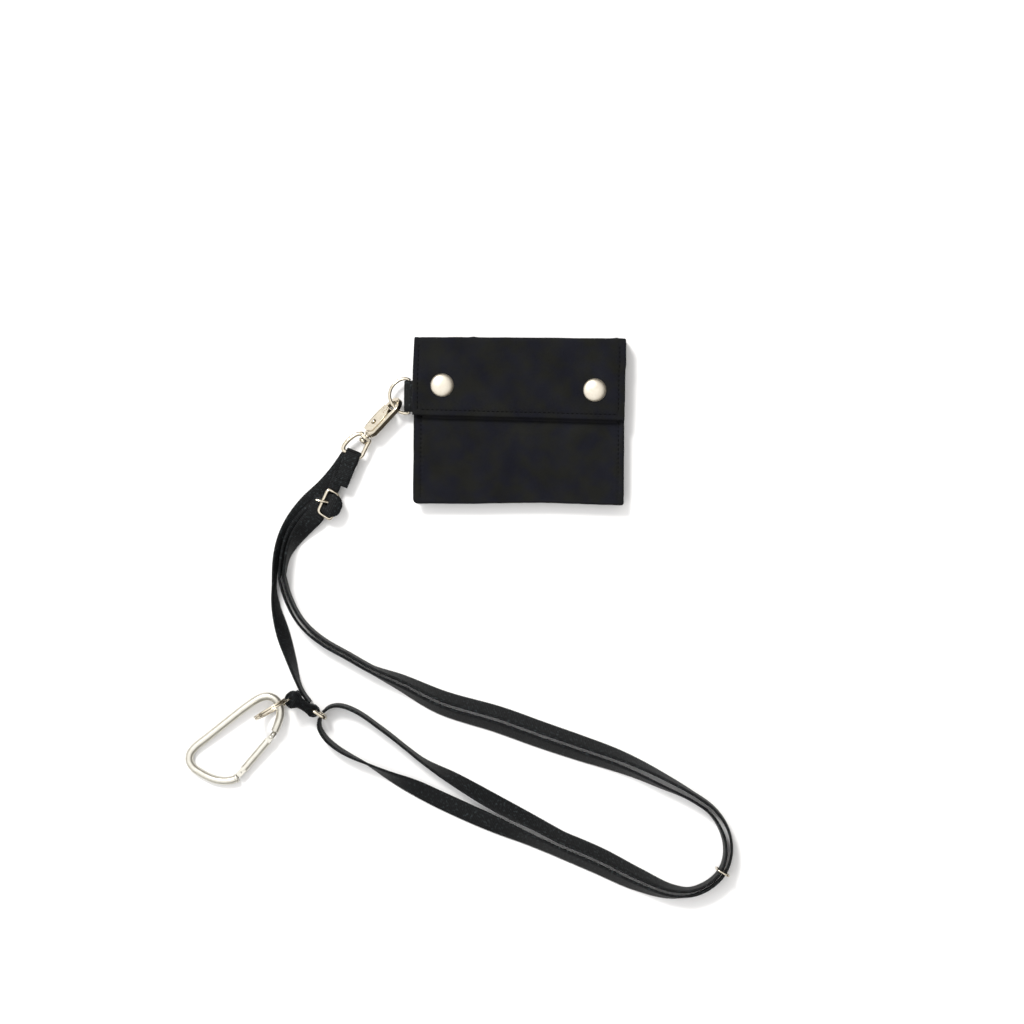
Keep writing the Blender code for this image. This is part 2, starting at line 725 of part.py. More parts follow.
loop_profile += arc(0, 0, lo, lo, 255, 105, 5) + [(0.2, lo), (3.7, lo)]
buckle_loop = add("buckle_loop", extruded(loop_profile, -4.4, 4.4, ring_place), WEB, origin=pivot)
for low_y, high_y, end_x in ((-0.5, 6, 8), (-6, 0.5, 2.3)):
    slot = extruded([(-6, low_y), (end_x, low_y), (end_x, high_y), (-6, high_y)], -1.15, 1.15, ring_place)
    boolean(buckle_loop, add(f"loop_slot_cut_{end_x}", slot, None, cutter=True, origin=pivot))
hole = extruded(
    [(3.9, -1.2), (8.8, -1.2), (8.8, 1.2), (3.9, 1.2)], -6, 6, basis(pivot, across, bar_dir, over)
)
boolean(neck_free, add("prong_hole_cut", hole, None, cutter=True))
boolean(prong, add("tongue_union", tube(tongue, 0.55, 8), None, cutter=True, origin=pivot), "UNION")

# ---------------------------------------------------------------- rings


def boxy(centre, along, rx, rz, power=0.5, count=24):
    """A rounded-square loop standing on edge, its sides along this direction."""
    out = []
    for k in range(count):
        a = 2 * math.pi * k / count
        c, s = math.cos(a), math.sin(a)
        x, zz = math.copysign(abs(c) ** power, c) * rx, math.copysign(abs(s) ** power, s) * rz
        out.append((centre[0] + along[0] * x, centre[1] + along[1] * x, centre[2] + zz))
    return out


k_centre = at(106.6, -237.2, 6.5)
k_along = Vector((0.86, -0.51))
keeper_line = boxy(k_centre, k_along, 3.7, 6.0)
add(
    "keeper_ring",
    tube(keeper_line, 0.45, 8, closed=True, up=(k_along.y, -k_along.x, 0)),
    NICKEL,
    origin=k_centre,
)

r_centre = at(-106.6, -153.5, 6.0)
r_along = Vector((0.84, -0.54))
add(
    "tab_ring",
    tube(
        boxy((r_centre.x, r_centre.y, 6.05), r_along, 3.9, 5.05, 0.5, 24),
        0.95,
        8,
        closed=True,
        up=(r_along.y, -r_along.x, 0),
    ),
    NICKEL,
    origin=(r_centre.x, r_centre.y, 6.0),
)

# ---------------------------------------------------------------- carabiner tab

# a sewn loop of webbing between the rings

tab_s, tab_t = Vector((-120.1, -145.5)), Vector((-110.6, -151.1))
tab_dir = (tab_t - tab_s).normalized()
tab_n = Vector((-tab_dir.y, tab_dir.x))
length = (tab_t - tab_s).length
# distance along the tab from the split ring, half spread, lift
TAB = (
    (0, 3.9, 8.6),
    (length * 0.35, 2.0, 6.0),
    (length * 0.7, 1.8, 3.9),
    (length, 2.6, 2.7),
    (length + 1.9, 1.9, 2.85),
)
loop = []
for s, w, lift in TAB:
    p = tab_s + tab_dir * s + tab_n * w
    loop.append((p.x, p.y, lift, 90, 8.2 if s < length else 6.5))
p = tab_t + tab_dir * 2.9
loop.append((p.x, p.y, 2.85, 90, 6.2))
for s, w, lift in reversed(TAB):
    p = tab_s + tab_dir * s - tab_n * w
    loop.append((p.x, p.y, lift, 90, 8.2 if s < length else 6.5))
p = tab_s - tab_dir * 3.7
loop.append((p.x, p.y, 8.4, 90, 8.0))
add("carabiner_tab", strap(strap_rows(loop, 1.6, True), 1.3, True), WEB)

# ---------------------------------------------------------------- split ring

s_centre = at(-129.0, -150.6, 12.4)
s_dir = Vector((0.861, 0.508, 0)).normalized()
s_tilt = math.radians(9)
s_up = (math.cos(s_tilt) * Vector((0, 0, 1)) + math.sin(s_tilt) * Vector((-s_dir.y, s_dir.x, 0))).normalized(
    
)
s_normal = s_dir.cross(s_up)
split_place = basis(s_centre, s_dir, s_up, s_normal)
turns, count = 1.92, 44
wire = [
    (10.9 * math.cos(a), 10.9 * math.sin(a), -0.95 + 1.9 * k / count)
    for k, a in ((k, turns * 2 * math.pi * k / count + 0.8) for k in range(count + 1))
]
rings = []
for k, (x, y, zz) in enumerate(wire):
    out = Vector((x, y, 0)).normalized()
    ring = []
    for u, v in ((-0.85, -0.5), (0.85, -0.5), (0.85, 0.5), (-0.85, 0.5)):
        ring.append(split_place @ (Vector((x, y, zz)) + out * u + Vector((0, 0, v))))
    rings.append(ring)
add("split_ring", skin(rings), NICKEL, origin=s_centre)

# ---------------------------------------------------------------- carabiner

C_ROD = 2.0
low_end, high_end = at(-172, -180, 0), at(-128, -152, 0)
rise = (high_end - low_end).normalized()


def lie(x, y):
    """A point of the carabiner: its upper end rests on the split ring."""
    p = at(x, y, 0)
    return (p.x, p.y, 2.15 + 4.1 * (p - low_end).dot(rise) / (high_end - low_end).length)


PIVOT = (-131.1, -166.2)
LATCH = (-147.6, -185.6)
body_points = [
    (-129.6, -163.4), (-127.6, -158.2), (-127.5, -153.2), (-129.6, -148.6), (-133.6, -145.6), (-138.2, -145.6),
    (-144.2, -149.8), (-154.8, -158.3), (-164.6, -166.3), (-171.2, -171.9), (-174.2, -176.6), (-172.9, -180.6),
    (-168.4, -183.5), (-162.2, -186.9), (-156.6, -188.9), (-151.4, -188.6), (-150.0, -187.9),
]
line = smooth([lie(x, y) for x, y in body_points], 3.2)
cara_origin = Vector(lie(*PIVOT))
climb = 4.1 / (high_end - low_end).length
cara_n = Vector((-rise.x * climb, -rise.y * climb, 1)).normalized()
body = add("carabiner_body", tube(line, C_ROD, 12), SILVER, origin=cara_origin)

g0, g1 = Vector(lie(*PIVOT)), Vector(lie(*LATCH))
g_dir = (g1 - g0).normalized()
g_side = cara_n.cross(g_dir).normalized()
gate_place = basis(g0, g_dir, g_side, g_dir.cross(g_side))
g_len = (g1 - g0).length
latch_place = gate_place @ Matrix.Translation((g_len - 1.1, 0, 0))
# tongue of the body at the pivot
tongue = extruded(
    rounded([(-3.4, -1.3), (1.2, -1.3), (1.2, 1.3), (-3.4, 1.3)], [0, 1.2, 1.2, 0], 3),
    -0.8,
    0.8,
    gate_place,
)
boolean(body, add("pivot_tongue_union", tongue, None, cutter=True, origin=cara_origin), "UNION")
boolean(body, add("gate_pin_hole_cut", pin_hole(0.95, gate_place), None, cutter=True, origin=cara_origin))
gate = add(
    "carabiner_gate",
    tube(
        [tuple(gate_place @ Vector((x, 0, 0))) for x in (-1.6, 4, 12, g_len - 2.0, g_len + 0.4)], 1.85, 12
    ),
    SILVER,
    origin=cara_origin,
)
boolean(
    gate,
    add(
        "gate_slot_cut",
        extruded([(-4, -3), (2.2, -3), (2.2, 3), (-4, 3)], -1.15, 1.15, gate_place),
        None,
        cutter=True,
        origin=cara_origin,
    ),
)
boolean(gate, add("gate_hole_cut", pin_hole(0.95, gate_place), None, cutter=True, origin=cara_origin))
boolean(
    gate,
    add(
        "latch_slot_cut",
        extruded(
            [(g_len - 3.2, -3), (g_len + 3, -3), (g_len + 3, 3), (g_len - 3.2, 3)], -0.95, 0.95, gate_place
        ),
        None,
        cutter=True,
        origin=cara_origin,
    ),
)
boolean(gate, add("latch_hole_cut", pin_hole(0.8, latch_place, 12), None, cutter=True, origin=cara_origin))
add(
    "gate_rivet",
    lathe(
        [
            (0, -2.3), (1.0, -2.3), (1.0, -2.05), (0.65, -2.0), (0.65, 2.0), (1.0, 2.05), (1.0, 2.3),
            (0, 2.3),
        ],
        gate_place,
        12,
    ),
    SILVER,
    origin=cara_origin,
)
add(
    "gate_latch_pin",
    lathe([(0, -1.9), (0.5, -1.9), (0.5, 1.9), (0, 1.9)], latch_place, 10),
    SILVER,
    origin=cara_origin,
)
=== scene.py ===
"""Looks of the neck pouch wallet: a black nylon pouch on a ribbed webbing lanyard with metal hardware.
Lengths are millimetres in the row frame; MM turns them into metres."""

import math

import bmesh
import bpy
import numpy as np
from mathutils import Matrix, Vector, noise


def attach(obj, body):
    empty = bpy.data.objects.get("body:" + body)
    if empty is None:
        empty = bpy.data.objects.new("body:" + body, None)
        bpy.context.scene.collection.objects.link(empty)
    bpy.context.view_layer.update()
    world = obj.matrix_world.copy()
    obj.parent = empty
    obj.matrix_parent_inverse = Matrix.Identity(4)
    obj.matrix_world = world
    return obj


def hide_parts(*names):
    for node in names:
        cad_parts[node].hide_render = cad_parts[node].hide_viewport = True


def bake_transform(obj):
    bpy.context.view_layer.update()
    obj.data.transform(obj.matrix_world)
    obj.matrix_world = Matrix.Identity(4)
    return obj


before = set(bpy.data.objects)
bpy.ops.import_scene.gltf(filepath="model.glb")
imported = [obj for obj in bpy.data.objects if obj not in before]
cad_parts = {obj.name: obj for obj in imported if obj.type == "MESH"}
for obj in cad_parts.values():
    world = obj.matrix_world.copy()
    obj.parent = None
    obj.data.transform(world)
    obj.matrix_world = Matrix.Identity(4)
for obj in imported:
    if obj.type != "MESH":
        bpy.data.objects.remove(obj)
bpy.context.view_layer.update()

MM = 0.001
scene = bpy.context.scene

# ---------------------------------------------------------------- camera, light and floor

TURN = math.radians(0.46)  # the lanyard is laid out turned by this to the pouch
CAMERA_HEIGHT, CAMERA_X, CAMERA_Y = 1505.0, -3.8, -47.7

camera = bpy.data.objects.new("camera", bpy.data.cameras.new("camera"))
camera.data.lens = 100
camera.data.sensor_width = 36
camera.data.clip_start, camera.data.clip_end = 0.05, 20
camera.location = (CAMERA_X * MM, CAMERA_Y * MM, CAMERA_HEIGHT * MM)
camera.rotation_euler = (0, 0, TURN)
scene.collection.objects.link(camera)
scene.camera = camera
scene.view_settings.view_transform = "Standard"


def area_light(name, direction, distance, size, power, colour):
    lamp = bpy.data.lights.new(name, "AREA")
    lamp.shape = "DISK"
    lamp.size = size
    lamp.energy = power
    lamp.color = colour
    made = bpy.data.objects.new(name, lamp)
    towards = Vector(direction).normalized()
    made.location = Vector((0, -0.08, 0)) + towards * distance
    made.rotation_mode = "QUATERNION"
    made.rotation_quaternion = towards.to_track_quat("Z", "Y")
    scene.collection.objects.link(made)


area_light("key", (-0.5, 0.8, 1.15), 2.4, 0.62, 46, (1.0, 0.985, 0.96))

world = bpy.data.worlds.new("studio")
world.use_nodes = True
sky = world.node_tree
sky_coord = sky.nodes.new("ShaderNodeTexCoord")
sky_split = sky.nodes.new("ShaderNodeSeparateXYZ")
sky_lean = sky.nodes.new("ShaderNodeMath")  # the sky's dark edge stands higher on the right
sky_lean.operation = "MULTIPLY_ADD"
sky_lean.inputs[1].default_value = -0.3
sky_ramp = sky.nodes.new("ShaderNodeValToRGB")
for place, grey in ((0.45, (0.12, 0.105, 0.085, 1)), (0.7, (0.85, 0.84, 0.82, 1))):
    sky_ramp.color_ramp.elements.new(place).color = grey
sky_ramp.color_ramp.elements[0].position = 0.3
sky_ramp.color_ramp.elements[0].color = (0.05, 0.043, 0.035, 1)
sky_ramp.color_ramp.elements[3].position = 0.9
sky_ramp.color_ramp.elements[3].color = (1, 1, 1, 1)
sky.links.new(sky_coord.outputs["Generated"], sky_split.inputs[0])
sky.links.new(sky_split.outputs["X"], sky_lean.inputs[0])
sky.links.new(sky_split.outputs["Z"], sky_lean.inputs[2])
sky.links.new(sky_lean.outputs[0], sky_ramp.inputs[0])
sky.links.new(sky_ramp.outputs[0], sky.nodes["Background"].inputs["Color"])
sky.nodes["Background"].inputs["Strength"].default_value = 1.72
scene.world = world


# ---------------------------------------------------------------- materials


class Look:
    """A material under construction: its node tree with the Principled shader."""

    def __init__(self, name, colour, roughness, metallic=0.0, **sockets):
        self.material = bpy.data.materials.new(name)
        self.material.use_nodes = True
        self.tree = self.material.node_tree
        self.shader = self.tree.nodes["Principled BSDF"]
        self.set("Base Color", (*colour, 1))
        self.set("Roughness", roughness)
        self.set("Metallic", metallic)
        for socket, value in sockets.items():
            self.set(socket.replace("_", " "), value)

    def set(self, socket, value):
        self.shader.inputs[socket].default_value = value

    def node(self, kind, *links, **values):
        """A node of this kind. links are (input, output socket); values set inputs or properties."""
        made = self.tree.nodes.new("ShaderNode" + kind)
        for key, value in values.items():
            if hasattr(made, key):
                setattr(made, key, value)
            else:
                made.inputs[key.replace("_", " ")].default_value = value
        for socket, source in links:
            self.tree.links.new(source, made.inputs[socket])
        return made

    def math(self, operation, a, b=0.0):
        made = self.tree.nodes.new("ShaderNodeMath")
        made.operation = operation
        for socket, value in ((0, a), (1, b)):
            if isinstance(value, (int, float)):
                made.inputs[socket].default_value = value
            else:
                self.tree.links.new(value, made.inputs[socket])
        return made.outputs[0]

    def ramp(self, source, *stops):
        made = self.tree.nodes.new("ShaderNodeValToRGB")
        while len(made.color_ramp.elements) < len(stops):
            made.color_ramp.elements.new(0.5)
        for element, (place, colour) in zip(made.color_ramp.elements, stops):
            element.position = place
            element.color = (*colour, 1) if len(colour) == 3 else colour
        self.tree.links.new(source, made.inputs[0])
        return made.outputs[0]

    def added(self, a, b):
        made = self.tree.nodes.new("ShaderNodeMix")
        made.data_type = "RGBA"
        made.blend_type = "ADD"
        made.inputs["Factor"].default_value = 1.0
        self.tree.links.new(a, made.inputs[6])
        self.tree.links.new(b, made.inputs[7])
        return made.outputs[2]

    def plus(self, a, b):
        return self.math("ADD", a, b)

    def times(self, a, b):
        return self.math("MULTIPLY", a, b)

    def grain(self, place, scale, detail):
        """Noise from 0 to 1, with this many bumps to the metre."""
        return self.node("TexNoise", ("Vector", place), Scale=scale, Detail=detail).outputs["Fac"]

    def wave(self, phase):
        """0 to 1 once for every unit of phase."""
        turn = self.times(phase, 2 * math.pi)
        return self.plus(self.times(self.math("COSINE", turn), 0.5), 0.5)

    def colour_from(self, source):
        self.tree.links.new(source, self.shader.inputs["Base Color"])

    def roughness_from(self, source, low, high):
        made = self.node("MapRange", (0, source))
        made.inputs[3].default_value, made.inputs[4].default_value = low, high
        self.tree.links.new(made.outputs[0], self.shader.inputs["Roughness"])

    def bump(self, source, strength, distance_mm, under=None):
        made = self.tree.nodes.new("ShaderNodeBump")
        made.inputs["Strength"].default_value = strength
        made.inputs["Distance"].default_value = distance_mm * MM
        self.tree.links.new(source, made.inputs["Height"])
        if under is not None:
            self.tree.links.new(under, made.inputs["Normal"])
        self.tree.links.new(made.outputs[0], self.shader.inputs["Normal"])
        return made.outputs[0]

    def weave_uv(self):
        """The weave's own coordinates in millimetres: along and across."""
        uv = self.node("UVMap", uv_map="weave")
        split = self.node("SeparateXYZ", (0, uv.outputs[0]))
        return uv.outputs[0], self.times(split.outputs[0], 1000.0), self.times(split.outputs[1], 1000.0)


RIB = 0.9  # the webbing's rib pitch
WARP = 0.42  # the pitch of the webbing's warp threads
TWILL = 0.52  # the pitch of the twill's diagonal lines


def webbing_look(name, dark, light, fleck):
    look = Look(name, light, 0.6, Sheen_Weight=0.03, Sheen_Roughness=0.4, Specular_IOR_Level=0.1)
    uv, along, across = look.weave_uv()
    # painted shade: the rib wave darkens the colour in each rib's valley, where the mesh's ribs would
    # cast their own shade
    rib = look.wave(look.math("DIVIDE", along, RIB))
    grain = look.grain(uv, 1100.0, 3.0)
    specks = look.grain(uv, 780.0, 2.0)
    warp = look.wave(look.math("DIVIDE", across, WARP))
    # the tape's colour mixes that painted rib shade with the grain's random tone
    rib_shade_and_grain = look.times(look.plus(rib, look.times(grain, 0.7)), 0.62)
    cloth = look.ramp(rib_shade_and_grain, (0.15, dark), (0.95, light))
    look.colour_from(look.added(cloth, look.ramp(specks, (0.56, (0, 0, 0)), (0.72, fleck))))
    look.roughness_from(grain, 0.5, 0.75)
    fine = look.bump(warp, 0.3, 0.05)
    look.bump(grain, 0.4, 0.06, fine)
    return look.material


def twill_look(name, dark, light, pitch=TWILL):
    look = Look(name, light, 0.8, Sheen_Weight=0.02, Sheen_Roughness=0.5, Specular_IOR_Level=0.06)
    uv, along, across = look.weave_uv()
    drift = look.grain(uv, 160.0, 2.0)
    diagonal = look.plus(look.plus(along, across), look.times(drift, 0.5))
    line = look.wave(look.math("DIVIDE", diagonal, pitch))
    weft = look.wave(look.math("DIVIDE", across, pitch * 0.55))
    grain = look.grain(uv, 1400.0, 4.0)
    mottle = look.grain(uv, 55.0, 3.0)
    cloth = look.plus(look.times(line, 0.45), look.times(grain, 0.55))
    cloth = look.plus(cloth, look.times(look.math("SUBTRACT", mottle, 0.5), 0.6))
    tone = look.ramp(cloth, (0.1, dark), (0.95, light))
    tint = look.grain(uv, 95.0, 2.0)
    cast = look.ramp(tint, (0.38, (0, 0, 0.0026)), (0.62, (0.0017, 0.0016, 0)))
    look.colour_from(look.added(tone, cast))
    look.roughness_from(grain, 0.72, 0.92)
    first = look.bump(line, 0.4, 0.07)
    second = look.bump(weft, 0.2, 0.04, first)
    look.bump(grain, 0.3, 0.05, second)
    return look.material


def metal_look(name, colour, roughness, tint, metallic, scale):
    look = Look(name, colour, roughness, metallic)
    place = look.node("TexCoord").outputs["Object"]
    smear = look.grain(place, scale, 5.0)
    pits = look.grain(place, scale * 4, 3.0)
    look.colour_from(look.ramp(smear, (0.3, tint), (0.62, colour)))
    look.roughness_from(smear, roughness * 0.75, roughness * 1.35)
    look.bump(pits, 0.12, 0.02)
    return look.material


def thread_look(name, colour):
    look = Look(name, colour, 0.7, Specular_IOR_Level=0.05)
    twist = look.grain(look.node("TexCoord").outputs["Object"], 2500.0, 2.0)
    dark = tuple(c * 0.5 for c in colour)
    look.colour_from(look.ramp(twist, (0.3, dark), (0.7, colour)))
    look.bump(twist, 0.5, 0.05)
    return look.material


THREAD = thread_look("thread_black", (0.0012, 0.0012, 0.0015))
# the webbing's tones: its darkest falls in the rib valleys as painted shade, mixed with the grain's
# random tone
TAPE_BLACK, TAPE_GREY = (0.0008, 0.0009, 0.0010), (0.0092, 0.0099, 0.0108)
TAPE_FLECK = (0.020, 0.026, 0.028)
TWILL_BLACK, TWILL_GREY = (0.0010, 0.0011, 0.0013), (0.0122, 0.0128, 0.0142)
LINING_BLACK, LINING_GREY = (0.004, 0.004, 0.0045), (0.014, 0.014, 0.016)
# each finish is a material and the record's slot that it stands for
WEBBING = (webbing_look("webbing_black", TAPE_BLACK, TAPE_GREY, TAPE_FLECK), "webbing")
SHELL = (twill_look("nylon_twill", TWILL_BLACK, TWILL_GREY), "shell_fabric")
LINING = (twill_look("nylon_lining", LINING_BLACK, LINING_GREY, 0.36), "lining_fabric")

METALS = {  # slot: name, colour, roughness, tint, how metallic, smears to the metre
    "nickel": ("nickel_polished", (0.57, 0.52, 0.43), 0.17, (0.46, 0.41, 0.32), 1.0, 700.0),
    "snap_cap": ("nickel_pearl", (0.58, 0.54, 0.46), 0.3, (0.53, 0.48, 0.40), 0.9, 400.0),
    "carabiner_alloy": ("alloy_matte", (0.57, 0.555, 0.50), 0.34, (0.52, 0.50, 0.44), 0.9, 500.0),
    "spring_steel": ("spring_wire", (0.4, 0.4, 0.4), 0.3, (0.3, 0.3, 0.3), 1.0, 700.0),
}
NICKEL, PEARL, ALLOY, STEEL = ((metal_look(*values), slot) for slot, values in METALS.items())

floor_mesh = bpy.data.meshes.new("floor")
floor_mesh.from_pydata([(-3, -3, 0), (3, -3, 0), (3, 3, 0), (-3, 3, 0)], [], [(0, 1, 2, 3)])
floor = bpy.data.objects.new("floor", floor_mesh)
scene.collection.objects.link(floor)
floor_look = Look("floor_white", (0.86, 0.86, 0.865), 0.9, Specular_IOR_Level=0.1)
floor_mesh.materials.append(floor_look.material)

# ---------------------------------------------------------------- mesh helpers


def turned(x, y):
    c, s = math.cos(TURN), math.sin(TURN)
    return x * c - y * s, x * s + y * c


def smooth(points, spacing, closed=False):
    """Centripetal Catmull-Rom through the rows, whose first three columns are positions."""
    rows = [np.array(p, float) for p in points]
    count = len(rows)
    out = []
    for i in range(count if closed else count - 1):
        if closed:
            p0, p1, p2, p3 = (rows[(i + k) % count] for k in (-1, 0, 1, 2))
        else:
            p1, p2 = rows[i], rows[i + 1]
            p0 = rows[i - 1] if i > 0 else 2 * p1 - p2
            p3 = rows[i + 2] if i + 2 < count else 2 * p2 - p1
        d = [max(np.linalg.norm((b - a)[:3]), 1e-6) ** 0.5 for a, b in ((p0, p1), (p1, p2), (p2, p3))]
        m1 = ((p1 - p0) / d[0] - (p2 - p0) / (d[0] + d[1]) + (p2 - p1) / d[1]) * d[1]
        m2 = ((p2 - p1) / d[1] - (p3 - p1) / (d[1] + d[2]) + (p3 - p2) / d[2]) * d[1]
        steps = max(1, round(np.linalg.norm((p2 - p1)[:3]) / spacing))
        for k in range(steps):
            t = k / steps
            out.append(
                (2 * t**3 - 3 * t**2 + 1) * p1
                + (t**3 - 2 * t**2 + t) * m1
                + (3 * t**2 - 2 * t**3) * p2
                + (t**3 - t**2) * m2
            )
    if not closed:
        out.append(rows[-1])
    return np.array(out)


def tangents(line, closed=False):
    step = np.roll(line, -1, 0) - np.roll(line, 1, 0) if closed else np.gradient(line, axis=0)
    return step / np.linalg.norm(step, axis=1)[:, None]


def length_along(line):
    return np.concatenate([[0], np.cumsum(np.linalg.norm(np.diff(line[:, :3], axis=0), axis=1))])


def resampled(rows, spacing):
    """The rows at even steps of length, with kinks evened out over about 2 mm."""
    at = length_along(rows)
    count = max(4, int(round(at[-1] / spacing)))
    where = np.linspace(0, at[-1], count + 1)
    out = np.column_stack([np.interp(where, at, column) for column in rows.T])
    reach = max(1, int(1.2 / spacing))
    kernel = np.hanning(2 * reach + 3)[1:-1]
    kernel /= kernel.sum()
    padded = np.vstack([2 * out[0] - out[reach:0:-1], out, 2 * out[-1] - out[-2 : -reach - 2 : -1]])
    even = np.column_stack([np.convolve(column, kernel, "valid") for column in padded.T])
    even[0], even[-1] = out[0], out[-1]
    even[:, 4:] = out[:, 4:]
    return even


def piece(name, points, faces, finish, body, uv=None, replaces=()):
    """A mesh object from points in millimetres, riding on the body."""
    mesh = bpy.data.meshes.new(name)
    points = np.asarray(points, float) * MM
    mesh.from_pydata([tuple(p) for p in points], [], [tuple(map(int, f)) for f in faces])
    if uv is not None:
        layer = mesh.uv_layers.new(name="weave")
        index = np.empty(len(mesh.loops), np.int32)
        mesh.loops.foreach_get("vertex_index", index)
        layer.data.foreach_set("uv", (np.asarray(uv)[index] * MM).astype(np.float32).ravel())
    mesh.materials.append(finish[0])
    mesh.validate()
    bm = bmesh.new()
    bm.from_mesh(mesh)
    bmesh.ops.recalc_face_normals(bm, faces=bm.faces)
    bm.to_mesh(mesh)
    bm.free()
    mesh.shade_smooth()
    made = bpy.data.objects.new(name, mesh)
    scene.collection.objects.link(made)
    if body:
        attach(made, body)
    if replaces:
        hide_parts(*replaces)
    return made


def ring_faces(count, sides, closed):
    """Quads over rings of points, and end caps if it is open."""
    faces = []
    for k in range(count if closed else count - 1):
        a, b = k * sides, ((k + 1) % count) * sides
        faces += [(a + i, a + (i + 1) % sides, b + (i + 1) % sides, b + i) for i in range(sides)]
    if not closed:
        faces.append(tuple(range(sides))[::-1])
        faces.append(tuple((count - 1) * sides + i for i in range(sides)))
    return faces


# ---------------------------------------------------------------- webbing

WEB_W, WEB_T = 10.0, 1.4
SECTION = (-0.94, -0.66, -0.24, 0.24, 0.66, 0.94)  # points across each face, in half widths
RIB_STEPS = 4


def webbing(
    name, line, across, normal, widths, body, thick=WEB_T, closed=False, hole=None, replaces=(), phase=0.0
):
    """Ribbed tape along the line: its crowned faces and its selvedges rise and fall with each rib."""
    line, widths = np.asarray(line, float), np.asarray(widths, float)
    at = length_along(line)
    rib = np.cos(2 * math.pi * (at / RIB + phase))
    half = widths / 2 + 0.10 * rib - 0.05
    high = thick / 2 + 0.055 * rib - 0.03
    columns = [(u, 1 - 0.14 * u**4) for u in SECTION]
    section = [*columns, (1.0, 0.0)] + [(u, -h) for u, h in reversed(columns)] + [(-1.0, 0.0)]
    sides, count = len(section), len(line)
    points = np.empty((count, sides, 3))
    uv = np.empty((count, sides, 2))
    for i, (u, h) in enumerate(section):
        points[:, i] = line + across * (u * half)[:, None] + normal * (h * high)[:, None]
        uv[:, i, 0] = at + phase * RIB
        uv[:, i, 1] = u * half
    faces = ring_faces(count, sides, closed)
    if hole is not None:
        first, last = (int(np.searchsorted(at, d)) for d in hole)
        middles = (2, 9)  # the middle column of each face

        def in_hole(face):
            return len(face) == 4 and first <= face[0] // sides < last and face[0] % sides in middles

        faces = [face for face in faces if not in_hole(face)]
        for k in range(first, last):
            a, b = k * sides, (k + 1) * sides
            faces.append((a + 2, b + 2, b + 10, a + 10))
            faces.append((a + 3, a + 9, b + 9, b + 3))
        for k, flip in ((first, False), (last, True)):
            a = k * sides
            wall = (a + 2, a + 10, a + 9, a + 3)
            faces.append(wall[::-1] if flip else wall)
    return piece(name, points.reshape(-1, 3), faces, WEBBING, body, uv.reshape(-1, 2), replaces)


def laid_tape(name, rows, body, **options):
    """Tape along rows of x, y, z, roll and width. A roll of +90 puts the left of travel down."""
    even = resampled(np.asarray(rows, float), RIB / RIB_STEPS)
    line, roll = even[:, :3], even[:, 3]
    along = tangents(line)
    left = np.cross((0, 0, 1), along)
    left /= np.linalg.norm(left, axis=1)[:, None]
    up = np.cross(along, left)
    c, s = np.cos(roll)[:, None], np.sin(roll)[:, None]
    made = webbing(name, line, c * left - s * up, s * left + c * up, even[:, 4], body, **options)
    return made, line


def bent_tape(name, points, side, width, body, **options):
    """Tape bent in one plane: the points run in the plane and side is the direction across the tape."""
    rows = smooth(points, 0.4)
    even = resampled(rows, RIB / RIB_STEPS)
    along = tangents(even)
    across = np.tile(np.asarray(side, float), (len(even), 1))
    normal = np.cross(along, across)
    webbing(name, even, across, normal, np.full(len(even), width), body, **options)


ON_EDGE = 85.0  # tape on its edge leans by the rest of the right angle


def lifted(points):
    """Strap rows from route rows of x, y, lift, roll[, width]; lift is the gap between tape and floor."""
    rows = []
    for p in points:
        x, y = turned(p[0], p[1])
        width = p[4] if len(p) > 4 else WEB_W
        roll = math.radians(p[3] if abs(p[3]) > 90 else max(-ON_EDGE, min(ON_EDGE, p[3])))
        z = p[2] + abs(math.sin(roll)) * width / 2 + abs(math.cos(roll)) * WEB_T / 2 + 0.1
        rows.append((x, y, z, roll, width))
    return rows


HOOK_STRAP = [
    (-89.9, -18.2, 1.1, 0), (-92.4, -22.0, 1.2, 0), (-96.0, -27.0, 0.8, 2), (-102.6, -34.6, 0.1, 5),
    (-112.3, -43.8, 0, 12), (-119.8, -53.2, 0, 30), (-124.9, -62.6, 0, 52), (-128.3, -73, 0, 74),
    (-129.6, -86.2, 0, 86), (-128.8, -97.0, 0, 72), (-125.1, -111.5, 0, 52), (-120.6, -125.8, 0, 66),
    (-116.6, -138.4, 0, 86), (-114.0, -143.6, 0, 90), (-110.6, -148.0, 0.3, 90, 9.0),
]

# The two strands of the neck strap: x, y of the middle of the pair, roll, extra gap between them, lift
PAIR = [
    (-125.7, -82.5, 90, 0), (-122.9, -92.2, 90, 0), (-117.6, -103.0, 90, 0), (-111.4, -110.4, 90, 0),
    (-102.6, -117.2, 90, 0), (-91.2, -123.6, 90, 0), (-78.3, -130.9, 86, 0), (-63.2, -137.6, 74, 0),
    (-41.1, -148.4, 60, 0), (-11.6, -157.3, 55, 0), (10.5, -165.2, 55, 0), (31.6, -172.4, 57, 0),
    (48, -177.9, 62, 0.1), (61.4, -183.2, 70, 0.6), (74.8, -189.6, 78, 1.1), (90.0, -197.4, 86, 0.8),
    (101.6, -205.6, 90, 0.5), (108.0, -215.5, 90, 0.8), (110.0, -226.0, 90, 0.5, 0.5),
    (107.8, -235.4, 90, 0, 1.2), (102.2, -242.6, 90, 0, 0.5), (92.0, -248.0, 88, 0.3),
    (79.6, -248.2, 76, 0), (61.4, -241.6, 62, 0), (41.1, -231.8, 55, 0), (21.1, -223.2, 55, 0),
]
